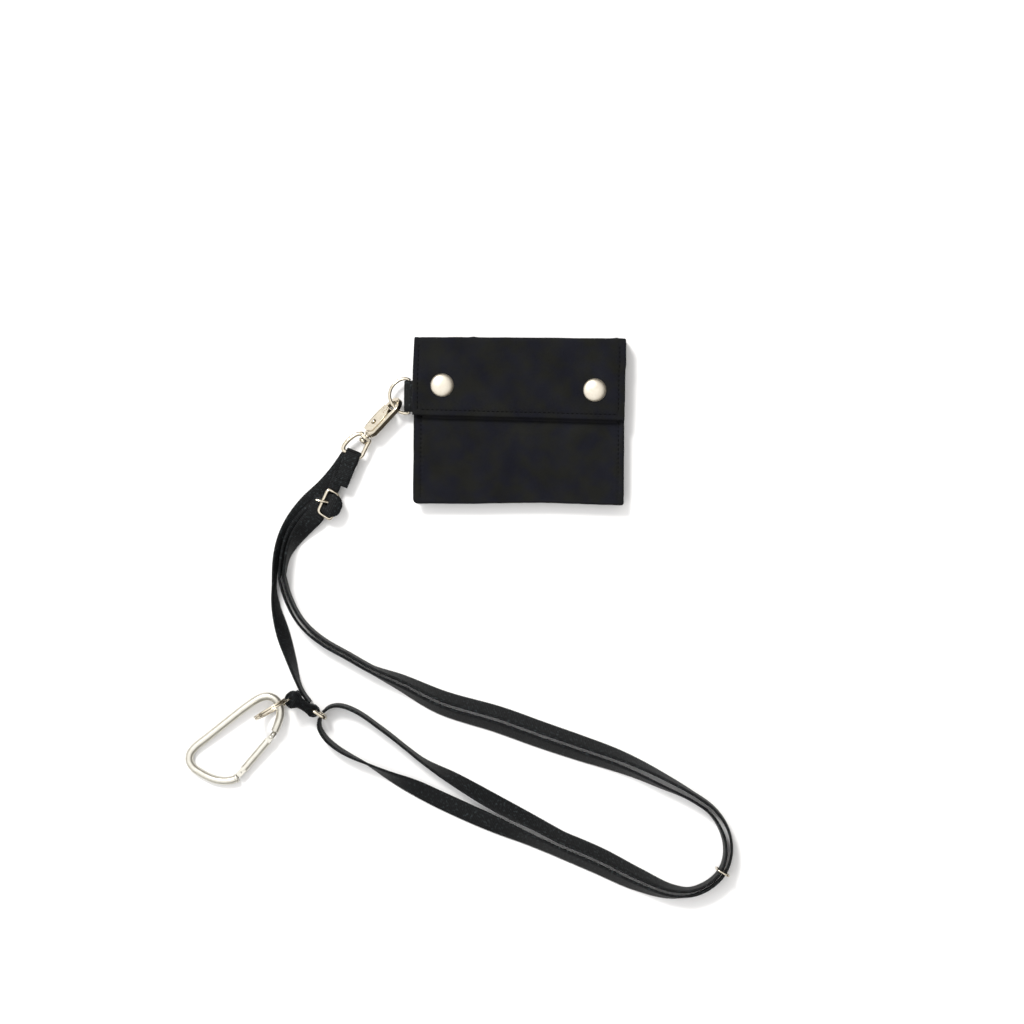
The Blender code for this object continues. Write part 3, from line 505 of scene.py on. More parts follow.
# From the buckle to the pair: x, y of the middle, roll, how far the free strand is out to the left, lift
BUNDLE = [
    (-109.7, -48.0, 8, 2.2, 1.9), (-115.4, -54.2, 26, 2.0, 0.6), (-120.2, -62.0, 54, 1.2, 0.1),
    (-123.8, -71.0, 80, 0.3, 0),
]
FREE_TIP = [
    (-94.4, -46.4, 7.6, 0, 4.6), (-94.9, -46.2, 7.9, 0, 7.4), (-95.8, -45.8, 8.3, 0, 9.8),
    (-97.2, -45.1, 8.8, 0, 11.6), (-98.7, -44.4, 9.1, 0, 12.4), (-100.0, -43.8, 8.8, 0, 12.2),
    (-101.3, -43.1, 7.6, 0, 11.2), (-102.2, -42.6, 6.0, 0, 10.0), (-103.1, -42.2, 4.5, 0, 8.8),
    (-105.0, -42.8, 3.6, 0, 9.2),
]
SEWN_TIP = [(-102.1, -43.0, 2.2, 0), (-104.8, -43.9, 1.7, 2)]
APART = 1.15  # half the spacing of the two strands, centre to centre
FREE_END = [
    (3.2, -219.6, 0, 47), (-19, -210.2, 0, 18), (-41.1, -200.2, 0, 16), (-54.8, -193.4, 0, 30),
    (-69, -186.6, 0, 62), (-80.6, -180.5, 0, 84), (-90.1, -175.9, 0, 94), (-97.1, -171.6, 0, 97),
    (-102.6, -166.6, 0.3, 98, 9.4), (-105.7, -161.0, 1.2, 98, 8.2), (-105.5, -156.2, 2.4, 96, 7.0),
]
SEWN_END = [
    (8.5, -212.2, 0, -50), (-11.6, -202.0, 0, -34), (-33.7, -189.2, 0, -52), (-50.1, -179.6, 0, -80),
    (-59.6, -172.4, 0, -90), (-68.9, -165, 0, -90), (-75.9, -159.8, 0, -90), (-83, -154.7, 0, -90),
    (-90.1, -151.0, 0, -90), (-95.7, -149.6, 0.3, -90, 9.6), (-100.4, -150.4, 1.2, -90, 8.2),
    (-103.8, -153.2, 2.4, -90, 7.0),
]


def pair_strand(side):
    """The route of one strand of the pair; side is +1 for the left of travel."""
    rows = [(*turned(p[0], p[1]), 0, p[2], p[3], p[4] if len(p) > 4 else 0) for p in PAIR]
    centre = smooth(rows, 2.0)
    along = tangents(centre[:, :3])
    out = []
    for (x, y, _, roll, gap, lift), t in zip(centre, along):
        a = math.radians(min(roll, 86.0))
        shift = WEB_W / 2 * math.cos(a) + WEB_T / 2 * math.sin(a) + 0.4 + gap / 2
        z = WEB_W / 2 * math.sin(a) + WEB_T / 2 * math.cos(a) + 0.1 + max(lift, 0)
        out.append((x - t[1] * shift * side, y + t[0] * shift * side, z, a * side, WEB_W))
    return out


def bundle_strand(free):
    points = [(*turned(x, y), 0, roll, out, lift) for x, y, roll, out, lift in BUNDLE]
    after = (*turned(PAIR[0][0], PAIR[0][1]), 0, 90, 0, 0)
    centre = smooth([*points, after], 1.5)[:-1]
    along = tangents(np.vstack([centre, after])[:, :3])[:-1]
    rows = []
    for (x, y, _, roll, out, lift), t in zip(centre, along):
        a = math.radians(roll)
        left, up = np.array([-t[1], t[0], 0]), np.array([0, 0, 1.0])
        across = math.cos(a) * left - math.sin(a) * up
        normal = math.sin(a) * left + math.cos(a) * up
        half = WEB_W / 2 * math.sin(a) + WEB_T / 2 * math.cos(a)
        lower = min(-normal[2] * APART, normal[2] * APART + across[2] * out)
        base = np.array([x, y, half + 0.1 + lift - lower])
        p = base + normal * APART + across * out if free else base - normal * APART
        rows.append((*p, a, WEB_W))
    return rows


def through(start, middle, end, flip):
    """One strand through its tip, the bundle, the pair and its end; flip turns its start's roll."""
    turned_start = [(x, y, z, roll - flip, width) for x, y, z, roll, width in lifted(start)]
    bundle = [(x, y, z, roll - flip, width) for x, y, z, roll, width in bundle_strand(flip == 0)]
    first = smooth(turned_start + bundle[:2], 1.0)[:-2]
    last = smooth(middle[-2:] + lifted(end), 1.0)[1:]
    return np.vstack([first, np.array(bundle), np.array(middle[:-1]), last])


free_rows = through(FREE_TIP, pair_strand(1), FREE_END, 0)
sewn_rows = through(SEWN_TIP, pair_strand(-1), SEWN_END, math.pi)
STRAPS = (  # node, rows, where the prong's hole starts and ends, phase of the ribs
    ("hook_strap", smooth(lifted(HOOK_STRAP), 1.0), None, 0.0),
    ("neck_strap_free", free_rows, (7.1, 9.2), 0.2),
    ("neck_strap_sewn", sewn_rows, None, 0.6),
)
cords = [
    laid_tape(node + "_tape", rows, "lanyard", replaces=(node,), hole=hole, phase=phase)
    for node, rows, hole, phase in STRAPS
]


# ---------------------------------------------------------------- solid shapes


def basis(origin, x, y, z):
    """The matrix whose columns are these three axes, at this origin."""
    made = Matrix((x, y, z)).transposed().to_4x4()
    made.translation = origin
    return made


def moved(points, place):
    """The points, in millimetres, through the matrix."""
    matrix = np.array(place)
    return np.asarray(points, float) @ matrix[:3, :3].T + matrix[:3, 3]


def prism(outline, z0, z1, place):
    """Points and faces of the outline extruded from z0 to z1, through the matrix."""
    count = len(outline)
    points = [(x, y, z0) for x, y in outline] + [(x, y, z1) for x, y in outline]
    faces = [tuple(range(count))[::-1], tuple(range(count, 2 * count))]
    faces += [(i, (i + 1) % count, count + (i + 1) % count, count + i) for i in range(count)]
    return moved(points, place), faces


def lathed(profile, place, sides=40, closed=False):
    """Points and faces of a (radius, height) profile turned about the matrix's Z; closed makes a ring."""
    angles = np.arange(sides) * 2 * math.pi / sides
    rows = [(max(r, 0.01), h) for r, h in profile]
    points = [(r * math.cos(a), r * math.sin(a), h) for r, h in rows for a in angles]
    return moved(points, place), ring_faces(len(rows), sides, closed)


def tubed(line, radius, up, closed=False, sides=18, dome=1.0):
    """Points and faces of a tube along the line, with domed ends."""
    line = np.asarray(line, float)
    radius = np.broadcast_to(np.asarray(radius, float), (len(line),))
    along = tangents(line, closed)
    if not closed:
        turns = np.radians([88, 66, 42, 20])
        head = [line[0] - along[0] * radius[0] * dome * math.sin(a) for a in turns]
        tail = [line[-1] + along[-1] * radius[-1] * dome * math.sin(a) for a in turns[::-1]]
        line = np.vstack([head, line, tail])
        along = np.vstack([[along[0]] * 4, along, [along[-1]] * 4])
        radius = np.concatenate([radius[0] * np.cos(turns), radius, radius[-1] * np.cos(turns[::-1])])
    left = np.cross(np.asarray(up, float), along)
    left /= np.linalg.norm(left, axis=1)[:, None]
    top = np.cross(along, left)
    angles = np.arange(sides) * 2 * math.pi / sides
    across = left[:, None, :] * np.cos(angles)[None, :, None]
    rise = top[:, None, :] * np.sin(angles)[None, :, None]
    points = line[:, None, :] + (across + rise) * radius[:, None, None]
    return points.reshape(-1, 3), ring_faces(len(line), sides, closed)


def joined(parts):
    """One list of points and one of faces from several closed shapes."""
    points, faces, start = [], [], 0
    for these, those in parts:
        points.append(np.asarray(these, float))
        faces += [tuple(i + start for i in face) for face in those]
        start += len(these)
    return np.vstack(points), faces


def hardware(name, parts, finish, body, *replaces, bevel=0.0):
    """A metal piece from closed shapes, with its edges rounded."""
    points, faces = joined(parts)
    made = piece(name, points, faces, finish, body, replaces=replaces)
    if bevel:
        edge = made.modifiers.new("edge", "BEVEL")
        edge.width = bevel * MM
        edge.segments = 3
        edge.limit_method = "ANGLE"
        edge.angle_limit = math.radians(35)
        edge.harden_normals = True


def pin(name, half, place, sides, finish, body, node):
    """A pin with two equal heads, from the lower half of its profile."""
    profile = half + [(r, -h) for r, h in reversed(half)]
    hardware(name, [lathed(profile, place, sides)], finish, body, node)


def rounded(profile, step):
    """The profile with smooth curves between its points."""
    return smooth([(r, h, 0) for r, h in profile], step)[:, :2]


def arc(cx, cy, rx, ry, start, end, steps):
    angles = [math.radians(start + (end - start) * k / steps) for k in range(steps + 1)]
    return [(cx + rx * math.cos(a), cy + ry * math.sin(a)) for a in angles]


# ---------------------------------------------------------------- stitches

STITCH_PITCH = 2.45
STITCH_SHARE = 0.72  # how much of the pitch is thread
THREAD_W, THREAD_H = 0.42, 0.2


def stitches(name, rows, body, slot="shell_fabric", pitch=STITCH_PITCH, normal=(0, 0, 1)):
    """Thread along each row of points, on cloth that faces along the normal."""
    ring = [(math.cos(a), math.sin(a)) for a in np.arange(6) * math.pi / 3]
    stations = [(-1.0, 0.15), (-0.82, 0.62), (-0.4, 0.95), (0.4, 0.95), (0.82, 0.62), (1.0, 0.15)]
    shapes = []
    for line in rows:
        at = length_along(line)
        count = int(at[-1] / pitch)
        spare = (at[-1] - count * pitch) / 2
        for k in range(count):
            middle = spare + (k + 0.5) * pitch
            a, b = (np.array([np.interp(middle + d * pitch, at, c) for c in line.T]) for d in (-0.3, 0.3))
            along = (b - a) / np.linalg.norm(b - a)
            side = np.cross(normal, along)
            side /= np.linalg.norm(side)
            lean = 0.06 * math.sin(k * 2.4)
            along = along * math.cos(lean) + side * math.sin(lean)
            side = np.cross(normal, along)
            up = np.cross(along, side)
            centre = (a + b) / 2
            points = [
                centre
                + along * (s * pitch * STITCH_SHARE / 2)
                + side * (r * c * THREAD_W / 2)
                + up * (r * d * THREAD_H)
                for s, r in stations
                for c, d in ring
            ]
            shapes.append((points, ring_faces(len(stations), 6, False)))
    points, faces = joined(shapes)
    piece(name, points, faces, (THREAD, slot), body)


# ---------------------------------------------------------------- cloth

FRONT_TOP = 10.2
FRONT_ROWS = (-52.0, 51.8)  # x of the sewn rows
LEFT, RIGHT, LOW = -55.9, 54.9, -43.3  # the front panel's edges
FLAP_MIDDLE, FLAP_HALF = 13.0, 0.68
SNAPS = ((-41.0, 18.5), (39.1, 16.6))
GRID = 0.62


def ripple(x, y, size, seed):
    """Smooth noise from about -1 to 1 over x and y, in millimetres; size is the width of its bumps."""
    flat_x, flat_y = np.ravel(x), np.ravel(y)
    values = [noise.noise(Vector((a / size, b / size, seed))) for a, b in zip(flat_x, flat_y)]
    return np.array(values).reshape(np.shape(x))


def waves(x, y, *layers):
    """The sum of ripples, each given as height, size and seed."""
    return sum(height * ripple(x, y, size, seed) for height, size, seed in layers)


def hump(distance, width):
    return np.exp(-((distance / width) ** 2))


def grid_faces(rows, columns, start=0, flip=False):
    faces = []
    for i in range(rows - 1):
        for j in range(columns - 1):
            a = start + i * columns + j
            face = (a, a + 1, a + columns + 1, a + columns)
            faces.append(face[::-1] if flip else face)
    return faces


def snap_press(x, y):
    """How far the flap is pressed down round its snaps."""
    down = 0
    for sx, sy in SNAPS:
        r = np.hypot(x - sx, y - sy)
        turn = np.arctan2(y - sy, x - sx)
        pucker = 0.07 * np.cos(7 * turn + sx) * hump(r - 8.5, 2.6)
        down = down + 0.42 * hump(np.maximum(r - 5.0, 0), 3.4) + pucker
    return down


def row_press(distance, along):
    """A sewn row: a groove with a dimple at each stitch hole and puckers either side."""
    beat = np.cos(2 * math.pi * along / STITCH_PITCH)
    return 0.26 * hump(distance, 0.6) * (1 + 0.5 * beat) + 0.06 * hump(distance, 1.7) * beat


def front_height(x, y):
    """The front panel's face over the floor."""
    z = FRONT_TOP + waves(x, y, (0.34, 34, 2.0), (0.10, 11, 5.0), (0.03, 4, 7.0))
    z = z - 0.25 * hump(y + 43.4, 7) - 0.3 * hump(y - 40.2, 6) - 2.2 * hump(y - flap_low(x) - 0.4, 4.2)
    return z - sum(row_press(x - row, y) for row in FRONT_ROWS) + 0.12 * hump(x + 54.2, 1.8)


def pouch_outline(top_y, left, right):
    """The panel's outline from the mouth down the left side, along the bottom and up the right side."""
    soft, sharp = 2.4, 1.3  # radii of the two corners
    soft_corner = (left + soft, LOW + soft, soft, soft)
    sharp_corner = (right - sharp, LOW + sharp, sharp, sharp)
    side_a = [(left, top_y), (left, LOW + soft)] + arc(*soft_corner, 180, 225, 4)[1:]
    base = arc(*soft_corner, 225, 270, 4) + arc(*sharp_corner, 270, 315, 3)
    side_b = arc(*sharp_corner, 315, 360, 3) + [(right, top_y)]
    counts = (int(86 / GRID), int(109 / GRID), int(86 / GRID))
    runs = []
    for run, count in zip((side_a, base, side_b), counts):
        run = np.array(run, float)
        at = length_along(np.column_stack([run, np.zeros(len(run))]))
        where = np.linspace(0, at[-1], count + 1)
        x, y = np.interp(where, at, run[:, 0]), np.interp(where, at, run[:, 1])
        runs.append(np.column_stack([x, y + (0.9 * hump(x - 8, 28) - 0.4) * hump(y - LOW, 2.5)]))
    return runs


def coons(left, base, right, top):
    """The surface between four edges, as rows from the mouth down and columns from left to right."""
    rows, columns = len(left), len(base)
    v = np.linspace(0, 1, rows)[:, None, None]
    u = np.linspace(0, 1, columns)[None, :, None]
    sides = (1 - u) * left[:, None] + u * right[:, None]
    ends = (1 - v) * top[None] + v * base[None]
    corners = (1 - v) * ((1 - u) * top[0] + u * top[-1]) + v * ((1 - u) * base[0] + u * base[-1])
    return sides + ends - corners


def outline_normals(path):
    along = np.gradient(path, axis=0)
    along /= np.linalg.norm(along, axis=1)[:, None]
    return np.column_stack([along[:, 1], -along[:, 0]])


def pouch_shell():
    """One shell of front, gusset and back: the gusset folds in between the hems, and the top is open."""
    levels = [  # inset from the outline, height, how far from the front's outline to the back's
        (1.0, 0.0, 0), (0.4, -0.08, 0), (0.1, -0.32, 0), (0.0, -0.7, 0), (0.12, -1.15, 0),
        (0.7, -1.5, 0.05), (1.3, -2.3, 0.15), (1.75, -3.5, 0.3), (1.95, -5.0, 0.5), (1.75, -6.5, 0.7),
        (1.3, -7.7, 0.85), (0.7, -8.55, 0.95), (0.12, -8.9, 1), (0.0, -9.35, 1), (0.1, -9.72, 1),
        (0.4, -9.97, 1), (1.0, -10.06, 1),
    ]
    fronts, backs = pouch_outline(40.2, LEFT, RIGHT), pouch_outline(41.4, -55.4, 55.0)
    whole = [np.vstack([a, b[1:], c[1:]]) for a, b, c in (fronts, backs)]
    away = outline_normals(whole[0])
    at = length_along(np.column_stack([whole[0], np.zeros(len(whole[0]))]))
    wobble = waves(at, at * 0, (0.22, 21, 3.0), (0.12, 7, 9.0))
    wobble += 0.3 * hump(whole[0][:, 1] - LOW, 1.0) * ripple(at, at * 0, 30, 12.0)
    walls, uv = [], []
    for inset, z, share in levels:
        flat = whole[0] * (1 - share) + whole[1] * share - away * (inset - wobble)[:, None]
        crease = 0.25 * ripple(at, at * 0 + z, 9, 4.0) * hump(z + 5.0, 2.5)
        flat = flat - away * crease[:, None]
        walls.append(np.column_stack([flat, np.full(len(flat), FRONT_TOP + z)]))
        uv.append(np.column_stack([at, np.full(len(at), -60 + z)]))
    rows, columns = len(fronts[0]), len(fronts[1])
    grids = []
    for wall in (walls[0], walls[-1]):
        left, base = wall[:rows], wall[rows - 1 : rows + columns - 1]
        right = wall[rows + columns - 2 :][::-1]
        top = left[0] + (right[0] - left[0]) * np.linspace(0, 1, columns)[:, None]
        sag = 0.35 * ripple(top[:, 0], top[:, 0] * 0, 30, 15.0)
        top[1:-1, 1] += sag[1:-1]
        grids.append(coons(left, base, right, top))
    for grid, front in zip(grids, (True, False)):
        x, y = grid[..., 0], grid[..., 1]
        edge = np.minimum(np.minimum(x - LEFT, RIGHT - x), y - LOW)
        ease = np.clip((edge - 0.9) / 2.0, 0, 1) ** 2
        if front:
            grid[..., 2] += (front_height(x, y) - FRONT_TOP) * ease
        else:
            grid[..., 2] += (0.25 + 0.25 * ripple(x, y, 24, 21.0)) * ease
    points = [grids[0].reshape(-1, 3), grids[1].reshape(-1, 3), *walls[1:-1]]
    uvs = [grids[0].reshape(-1, 3)[:, :2], grids[1].reshape(-1, 3)[:, :2], *uv[1:-1]]
    faces = grid_faces(rows, columns, 0, True) + grid_faces(rows, columns, rows * columns)
    # the outline's points as indices into the grid of a panel
    rim = [i * columns for i in range(rows)]
    rim += [(rows - 1) * columns + j for j in range(1, columns)]
    rim += [i * columns + columns - 1 for i in range(rows - 2, -1, -1)]
    start, count = 2 * rows * columns, len(whole[0])
    belts = [rim] + [[start + k * count + i for i in range(count)] for k in range(len(levels) - 2)]
    belts.append([rows * columns + i for i in rim])
    for a, b in zip(belts, belts[1:]):
        faces += [(a[i], a[i + 1], b[i + 1], b[i]) for i in range(count - 1)]
    panels = ("back_panel", "front_panel", "side_gusset_left", "side_gusset_right", "bottom_gusset")
    made = piece("pouch_shell", np.vstack(points), faces, SHELL, "pouch", np.vstack(uvs), panels)
    thick = made.modifiers.new("cloth thickness", "SOLIDIFY")
    thick.thickness = 1.15 * MM
    thick.offset = -1


def spread(low, high, step, hem=True):
    """Steps from low to high, closer together near low, and near high where it ends in a hem."""
    near = [0, 0.05, 0.2, 0.45, 0.75]
    head = [low + d for d in near]
    tail = [high - d for d in reversed(near)] if hem else [high]
    a, b = head[-1], tail[0]
    inner = np.linspace(a, b, max(2, int(round((b - a) / step)) + 1))[1:-1]
    return np.concatenate([head, inner, tail])


def rounded_off(distance, reach=0.72):
    share = np.clip(distance / reach, 0, 1)
    return np.sqrt(np.clip(1 - (1 - share) ** 2, 0, 1))


def cloth_slab(name, middle, normal, half, top_lift, low_lift, finish, weave, node, body=None):
    """A closed panel about a grid of middle points. The lifts swell its faces; weave is its flat x, y."""
    rows, columns = middle.shape[:2]
    count = rows * columns
    top = middle + normal * (half + top_lift)[..., None]
    low = middle - normal * (half + low_lift)[..., None]
    faces = grid_faces(rows, columns) + grid_faces(rows, columns, count, True)
    edges = (
        range(columns),
        range(count - columns, count),
        range(0, count, columns),
        range(columns - 1, count, columns),
    )
    for line in edges:
        faces += [(a, b, count + b, count + a) for a, b in zip(line, line[1:])]
    points = np.vstack([top.reshape(-1, 3), low.reshape(-1, 3)])
    uv = np.stack(weave, axis=-1).reshape(-1, 2)
    made = piece(name, points, faces, finish, None, np.vstack([uv, uv]), (node,))
    bm = bmesh.new()
    bm.from_mesh(made.data)
    bmesh.ops.remove_doubles(bm, verts=bm.verts, dist=2e-6)
    bmesh.ops.recalc_face_normals(bm, faces=bm.faces)
    for edge in bm.edges:
        if len(edge.link_faces) == 2 and edge.calc_face_angle(0) > math.radians(70):
            edge.smooth = False
    bm.to_mesh(made.data)
    bm.free()
    if body:
        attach(made, body)
    return made


FLAP_LEFT = (  # y, x down the flap's left edge
    (43.9, -55.8), (36, -56.1), (26, -56.5), (12, -56.6), (0, -56.5),
)
FLAP_RIGHT = ((43.9, 55.4), (30, 55.5), (27.0, 55.1), (12, 55.0), (0, 54.8))
FLAP_LOW = (2.9, 0.8)  # y of the lower edge at the left and at the right
FLAP_WIDTH = 110.6
FLAP_RUN = 37.6  # from the flap's lower edge up to its fold
SPINE_LAP = 6.0  # the spine's cloth on the pouch's back
FOLD_Y, FOLD_R = 41.5, 1.75
FOLD_ARC = FOLD_R * math.pi / 2
flap_across = spread(0, FLAP_WIDTH, GRID) / FLAP_WIDTH
round_fold = np.linspace(0, FOLD_ARC, 9)[1:]


def flap_edges(y):
    """x of the flap's left and right edges."""
    edges = []
    for side, seed in ((FLAP_LEFT, 31.0), (FLAP_RIGHT, 33.0)):
        down, x = np.array(side).T
        edges.append(np.interp(-y, -down, x) + 0.12 * ripple(y, y * 0, 9, seed))
    return edges


def flap_low(x):
    slant = FLAP_LOW[0] + (FLAP_LOW[1] - FLAP_LOW[0]) * (x + 55.5) / 110.5
    return slant + 0.22 * ripple(x, x * 0, 26, 35.0)


def flap_lift(x, y, soft=1.0):
    """The flap's waves; soft fades the broad ones towards its hems."""
    return waves(x, y, (0.30, 30, 41.0), (0.10, 10, 43.0)) * soft + waves(x, y, (0.03, 4, 45.0))


def flap_sink(y):
    """How far the flap sinks towards its free edge."""
    return 0.35 * (1 - np.clip((y - 2) / 14, 0, 1))


def fold_bulge(x):
    """How the cloth swells along the fold."""
    return hump(x + 24.8, 1.6) + hump(x - 50.6, 2.2) + 0.5 * ripple(x, x * 0, 12, 47.0)


def flap_cloth():
    """The flap from halfway up the spine, over the fold and down to its hem."""
    down = spread(0, FLAP_RUN, GRID, False)
    rise = np.linspace(0, 4.25, 6)[1:]
    run = np.concatenate([down, FLAP_RUN + round_fold, FLAP_RUN + FOLD_ARC + rise])
    u, v = np.meshgrid(flap_across, run)
    low = flap_low(-55.5 + u * FLAP_WIDTH)
    flat = np.clip(v / FLAP_RUN, 0, 1)
    bend = np.clip((v - FLAP_RUN) / FOLD_R, 0, math.pi / 2)
    post = np.clip(v - FLAP_RUN - FOLD_ARC, 0, None)
    y = low + flat * (FOLD_Y - low) + FOLD_R * np.sin(bend)
    z = FLAP_MIDDLE - FOLD_R * (1 - np.cos(bend)) - post
    left, right = flap_edges(y)
    x = left + u * (right - left)
    normal = np.stack([np.zeros_like(y), np.sin(bend), np.cos(bend)], axis=-1)
    edge = np.minimum(u, 1 - u) * FLAP_WIDTH
    hem = np.minimum(edge, v)
    ease = rounded_off(hem)
    lift = flap_lift(x, y, np.clip(hem / 3.0, 0, 1))
    crown = flat * (1 - flat) + 0.35 * hump(y - 43.0, 1.6) * fold_bulge(x)
    pressed = snap_press(x, y)
    lower_row = row_press(y - flap_low(x) - 2.9, x)
    side_rows = row_press(x - left - 2.7, y) + row_press(right - x - 3.4, y)
    groove = lower_row * np.clip(edge - 1.0, 0, 1) + side_rows * np.clip(y - low - 2.5, 0, 1)
    middle = np.stack([x, y, z], axis=-1)
    middle += normal * (lift + crown * 0.5 - 0.5 * pressed - flap_sink(y))[..., None]
    top_lift = (crown * 0.5 - 0.45 * pressed - groove) * ease
    low_lift = -0.2 * pressed * ease
    weave = (x, np.where(post > 0, y + post, y))
    made = cloth_slab(
        "flap_cloth", middle, normal, FLAP_HALF * ease, top_lift, low_lift, SHELL, weave, "flap_panel"
    )
    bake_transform(made)


def spine_cloth():
    """The cloth from a lap on the back, round the lower fold and halfway up the spine."""
    lap = spread(0, SPINE_LAP, GRID, False)
    rise = np.linspace(0, 4.55, 6)[1:]
    run = np.concatenate([lap, SPINE_LAP + round_fold, SPINE_LAP + FOLD_ARC + rise])
    u, v = np.meshgrid(flap_across, run)
    bend = np.clip((v - SPINE_LAP) / FOLD_R, 0, math.pi / 2)
    post = np.clip(v - SPINE_LAP - FOLD_ARC, 0, None)
    y = FOLD_Y - SPINE_LAP + np.clip(v, 0, SPINE_LAP) + FOLD_R * np.sin(bend)
    z = 0.7 + FOLD_R * (1 - np.cos(bend)) + post
    left, right = flap_edges(np.array([43.25]))
    x = left[0] + u * (right[0] - left[0])
    normal = np.stack([np.zeros_like(y), -np.sin(bend), np.cos(bend)], axis=-1)
    edge = np.minimum(u, 1 - u) * FLAP_WIDTH
    ease = rounded_off(np.minimum(edge, v))
    groove = row_press(v - 2.0, x) * np.clip(edge - 1, 0, 1)
    outer = np.clip(0.35 * np.sin(bend) * fold_bulge(x), -0.3, 0.5)
    low_lift = (outer * 0.5 - groove) * ease
    middle = np.stack([x, y, z], axis=-1)
    weave = (x, 80 - v)
    made = cloth_slab(
        "spine_cloth", middle, normal, FLAP_HALF * ease, 0 * ease, low_lift, SHELL, weave, "flap_spine"
    )
    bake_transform(made)


def lining_panel(name, x1, y0, y1, z, half, seed, node):
    """A pocket sheet inside the pouch, with a folded hem along its top."""
    x0 = -x1
    x, y = np.meshgrid(spread(x0, x1, 1.5), spread(y0, y1, 1.5))
    edge = np.minimum(np.minimum(x - x0, x1 - x), np.minimum(y - y0, y1 - y))
    ease = rounded_off(edge, 0.4)
    lift = 0.12 * ripple(x, y, 22, seed) * np.clip(edge / 3, 0, 1)
    hem = 0.12 * np.clip((y - (y1 - 6)) / 0.4, 0, 1) - 0.1 * row_press(y - (y1 - 5), x)
    middle = np.stack([x, y, np.full_like(x, z)], axis=-1)
    normal = np.broadcast_to(np.array([0, 0, 1.0]), middle.shape)
    middle = middle + normal * lift[..., None]
    made = cloth_slab(
        name, middle, normal, half * ease, hem * ease, 0 * ease, LINING, (x, y), node, body="pouch"
    )


pouch_shell()
flap_cloth()
spine_cloth()
lining_panel("divider_cloth", 51.2, -40.2, 39.3, 6.7, 0.28, 51.0, "main_divider")
lining_panel("card_pocket_upper_cloth", 51.0, -40.0, 26.0, 7.45, 0.22, 53.0, "card_pocket_upper")
lining_panel("card_pocket_lower_cloth", 51.0, -40.0, 12.0, 8.15, 0.22, 55.0, "card_pocket_lower")


def on_front(x, y):
    return np.column_stack([x, y, front_height(x, y) + 0.02])


ys = np.arange(-42.0, 39.0, 0.8)
stitches("front_stitches", [on_front(ys * 0 + x, ys) for x in FRONT_ROWS], "pouch")


def on_flap(x, y):
    """A line in the flap's sewn groove."""
    low = flap_low(x)
    flat = np.clip((y - low) / (FOLD_Y - low), 0, 1)
    z = FLAP_MIDDLE + FLAP_HALF + flap_lift(x, y) + flat * (1 - flat) - flap_sink(y) - 0.16
    return np.column_stack([x, y, z])


xs = np.arange(-52.6, 51.6, 0.8)
ys = np.arange(5.2, 40.8, 0.8)
left_edge, right_edge = flap_edges(ys)
flap_rows = [
    on_flap(xs, flap_low(xs) + 2.9),
    on_flap(left_edge + 2.7, ys),
    on_flap(right_edge - 3.4, ys),
]
stitches("flap_stitches", flap_rows, "flap")
xs = np.arange(-53.0, 53.0, 0.8)
lap_line = np.column_stack([xs, xs * 0 + FOLD_Y - 4.0, xs * 0 + 0.12])
stitches("back_stitches", [lap_line], "pouch", normal=(0, 0, -1))

# ---------------------------------------------------------------- snaps

CAP_PROFILE = [
    (0, 1.75), (1.2, 1.73), (2.4, 1.62), (3.6, 1.40), (4.7, 1.05), (5.5, 0.66), (6.0, 0.28), (6.2, 0.0),
    (6.1, -0.22), (5.7, -0.3),
]
SOCKET_PROFILE = [(2.1, 11.0), (4.3, 11.0), (4.75, 11.1), (4.9, 11.4), (4.9, 12.25), (2.1, 12.25)]
STUD_PROFILE = [
    (0, 10.25), (4.2, 10.25), (4.2, 10.6), (1.55, 10.7), (1.45, 11.1), (1.72, 11.45), (1.6, 11.75),
    (1.1, 11.95), (0, 12.0),
]
for side, (x, y) in zip(("left", "right"), SNAPS):
    place = Matrix.Translation((x, y, 0))
    cap = lathed([*rounded(CAP_PROFILE, 0.3), (0, -0.3)], Matrix.Translation((x, y, 13.8)), 72)
    hardware("snap_cap_dome_" + side, [cap], PEARL, "flap", "snap_cap_" + side)
    socket = lathed(SOCKET_PROFILE, place, 48, closed=True)
    hardware("snap_socket_ring_" + side, [socket], NICKEL, "flap", "snap_socket_" + side, bevel=0.12)
    stud = lathed(rounded(STUD_PROFILE, 0.25), place, 48)
    hardware("snap_stud_post_" + side, [stud], NICKEL, "pouch", "snap_stud_" + side)

# ---------------------------------------------------------------- ring tab and D-ring

BAR_X, D_Z, BAR_R = -58.6, 6.2, 0.9
tab_turn = BAR_R + 0.35 + WEB_T / 2
tab_line = [(-53.4, D_Z + tab_turn), (-56.5, D_Z + tab_turn)]
tab_line += arc(BAR_X, D_Z, tab_turn, tab_turn, 90, 270, 8)
tab_line += [(-56.5, D_Z - tab_turn), (-53.4, D_Z - tab_turn)]
tab_line = [(x, 12.8, z) for x, z in tab_line]
bent_tape("ring_tab_tape", tab_line, (0, 1, 0), 16.6, "pouch", replaces=("ring_tab",))
tab_top = D_Z + tab_turn + WEB_T / 2 + 0.02
ys = np.arange(5.6, 20.2, 0.5)
tab_rows = [np.column_stack([ys * 0 + x, ys, ys * 0 + tab_top]) for x in (-56.3, -54.9)]
stitches("ring_tab_stitches", tab_rows, "pouch", "webbing", 1.9)

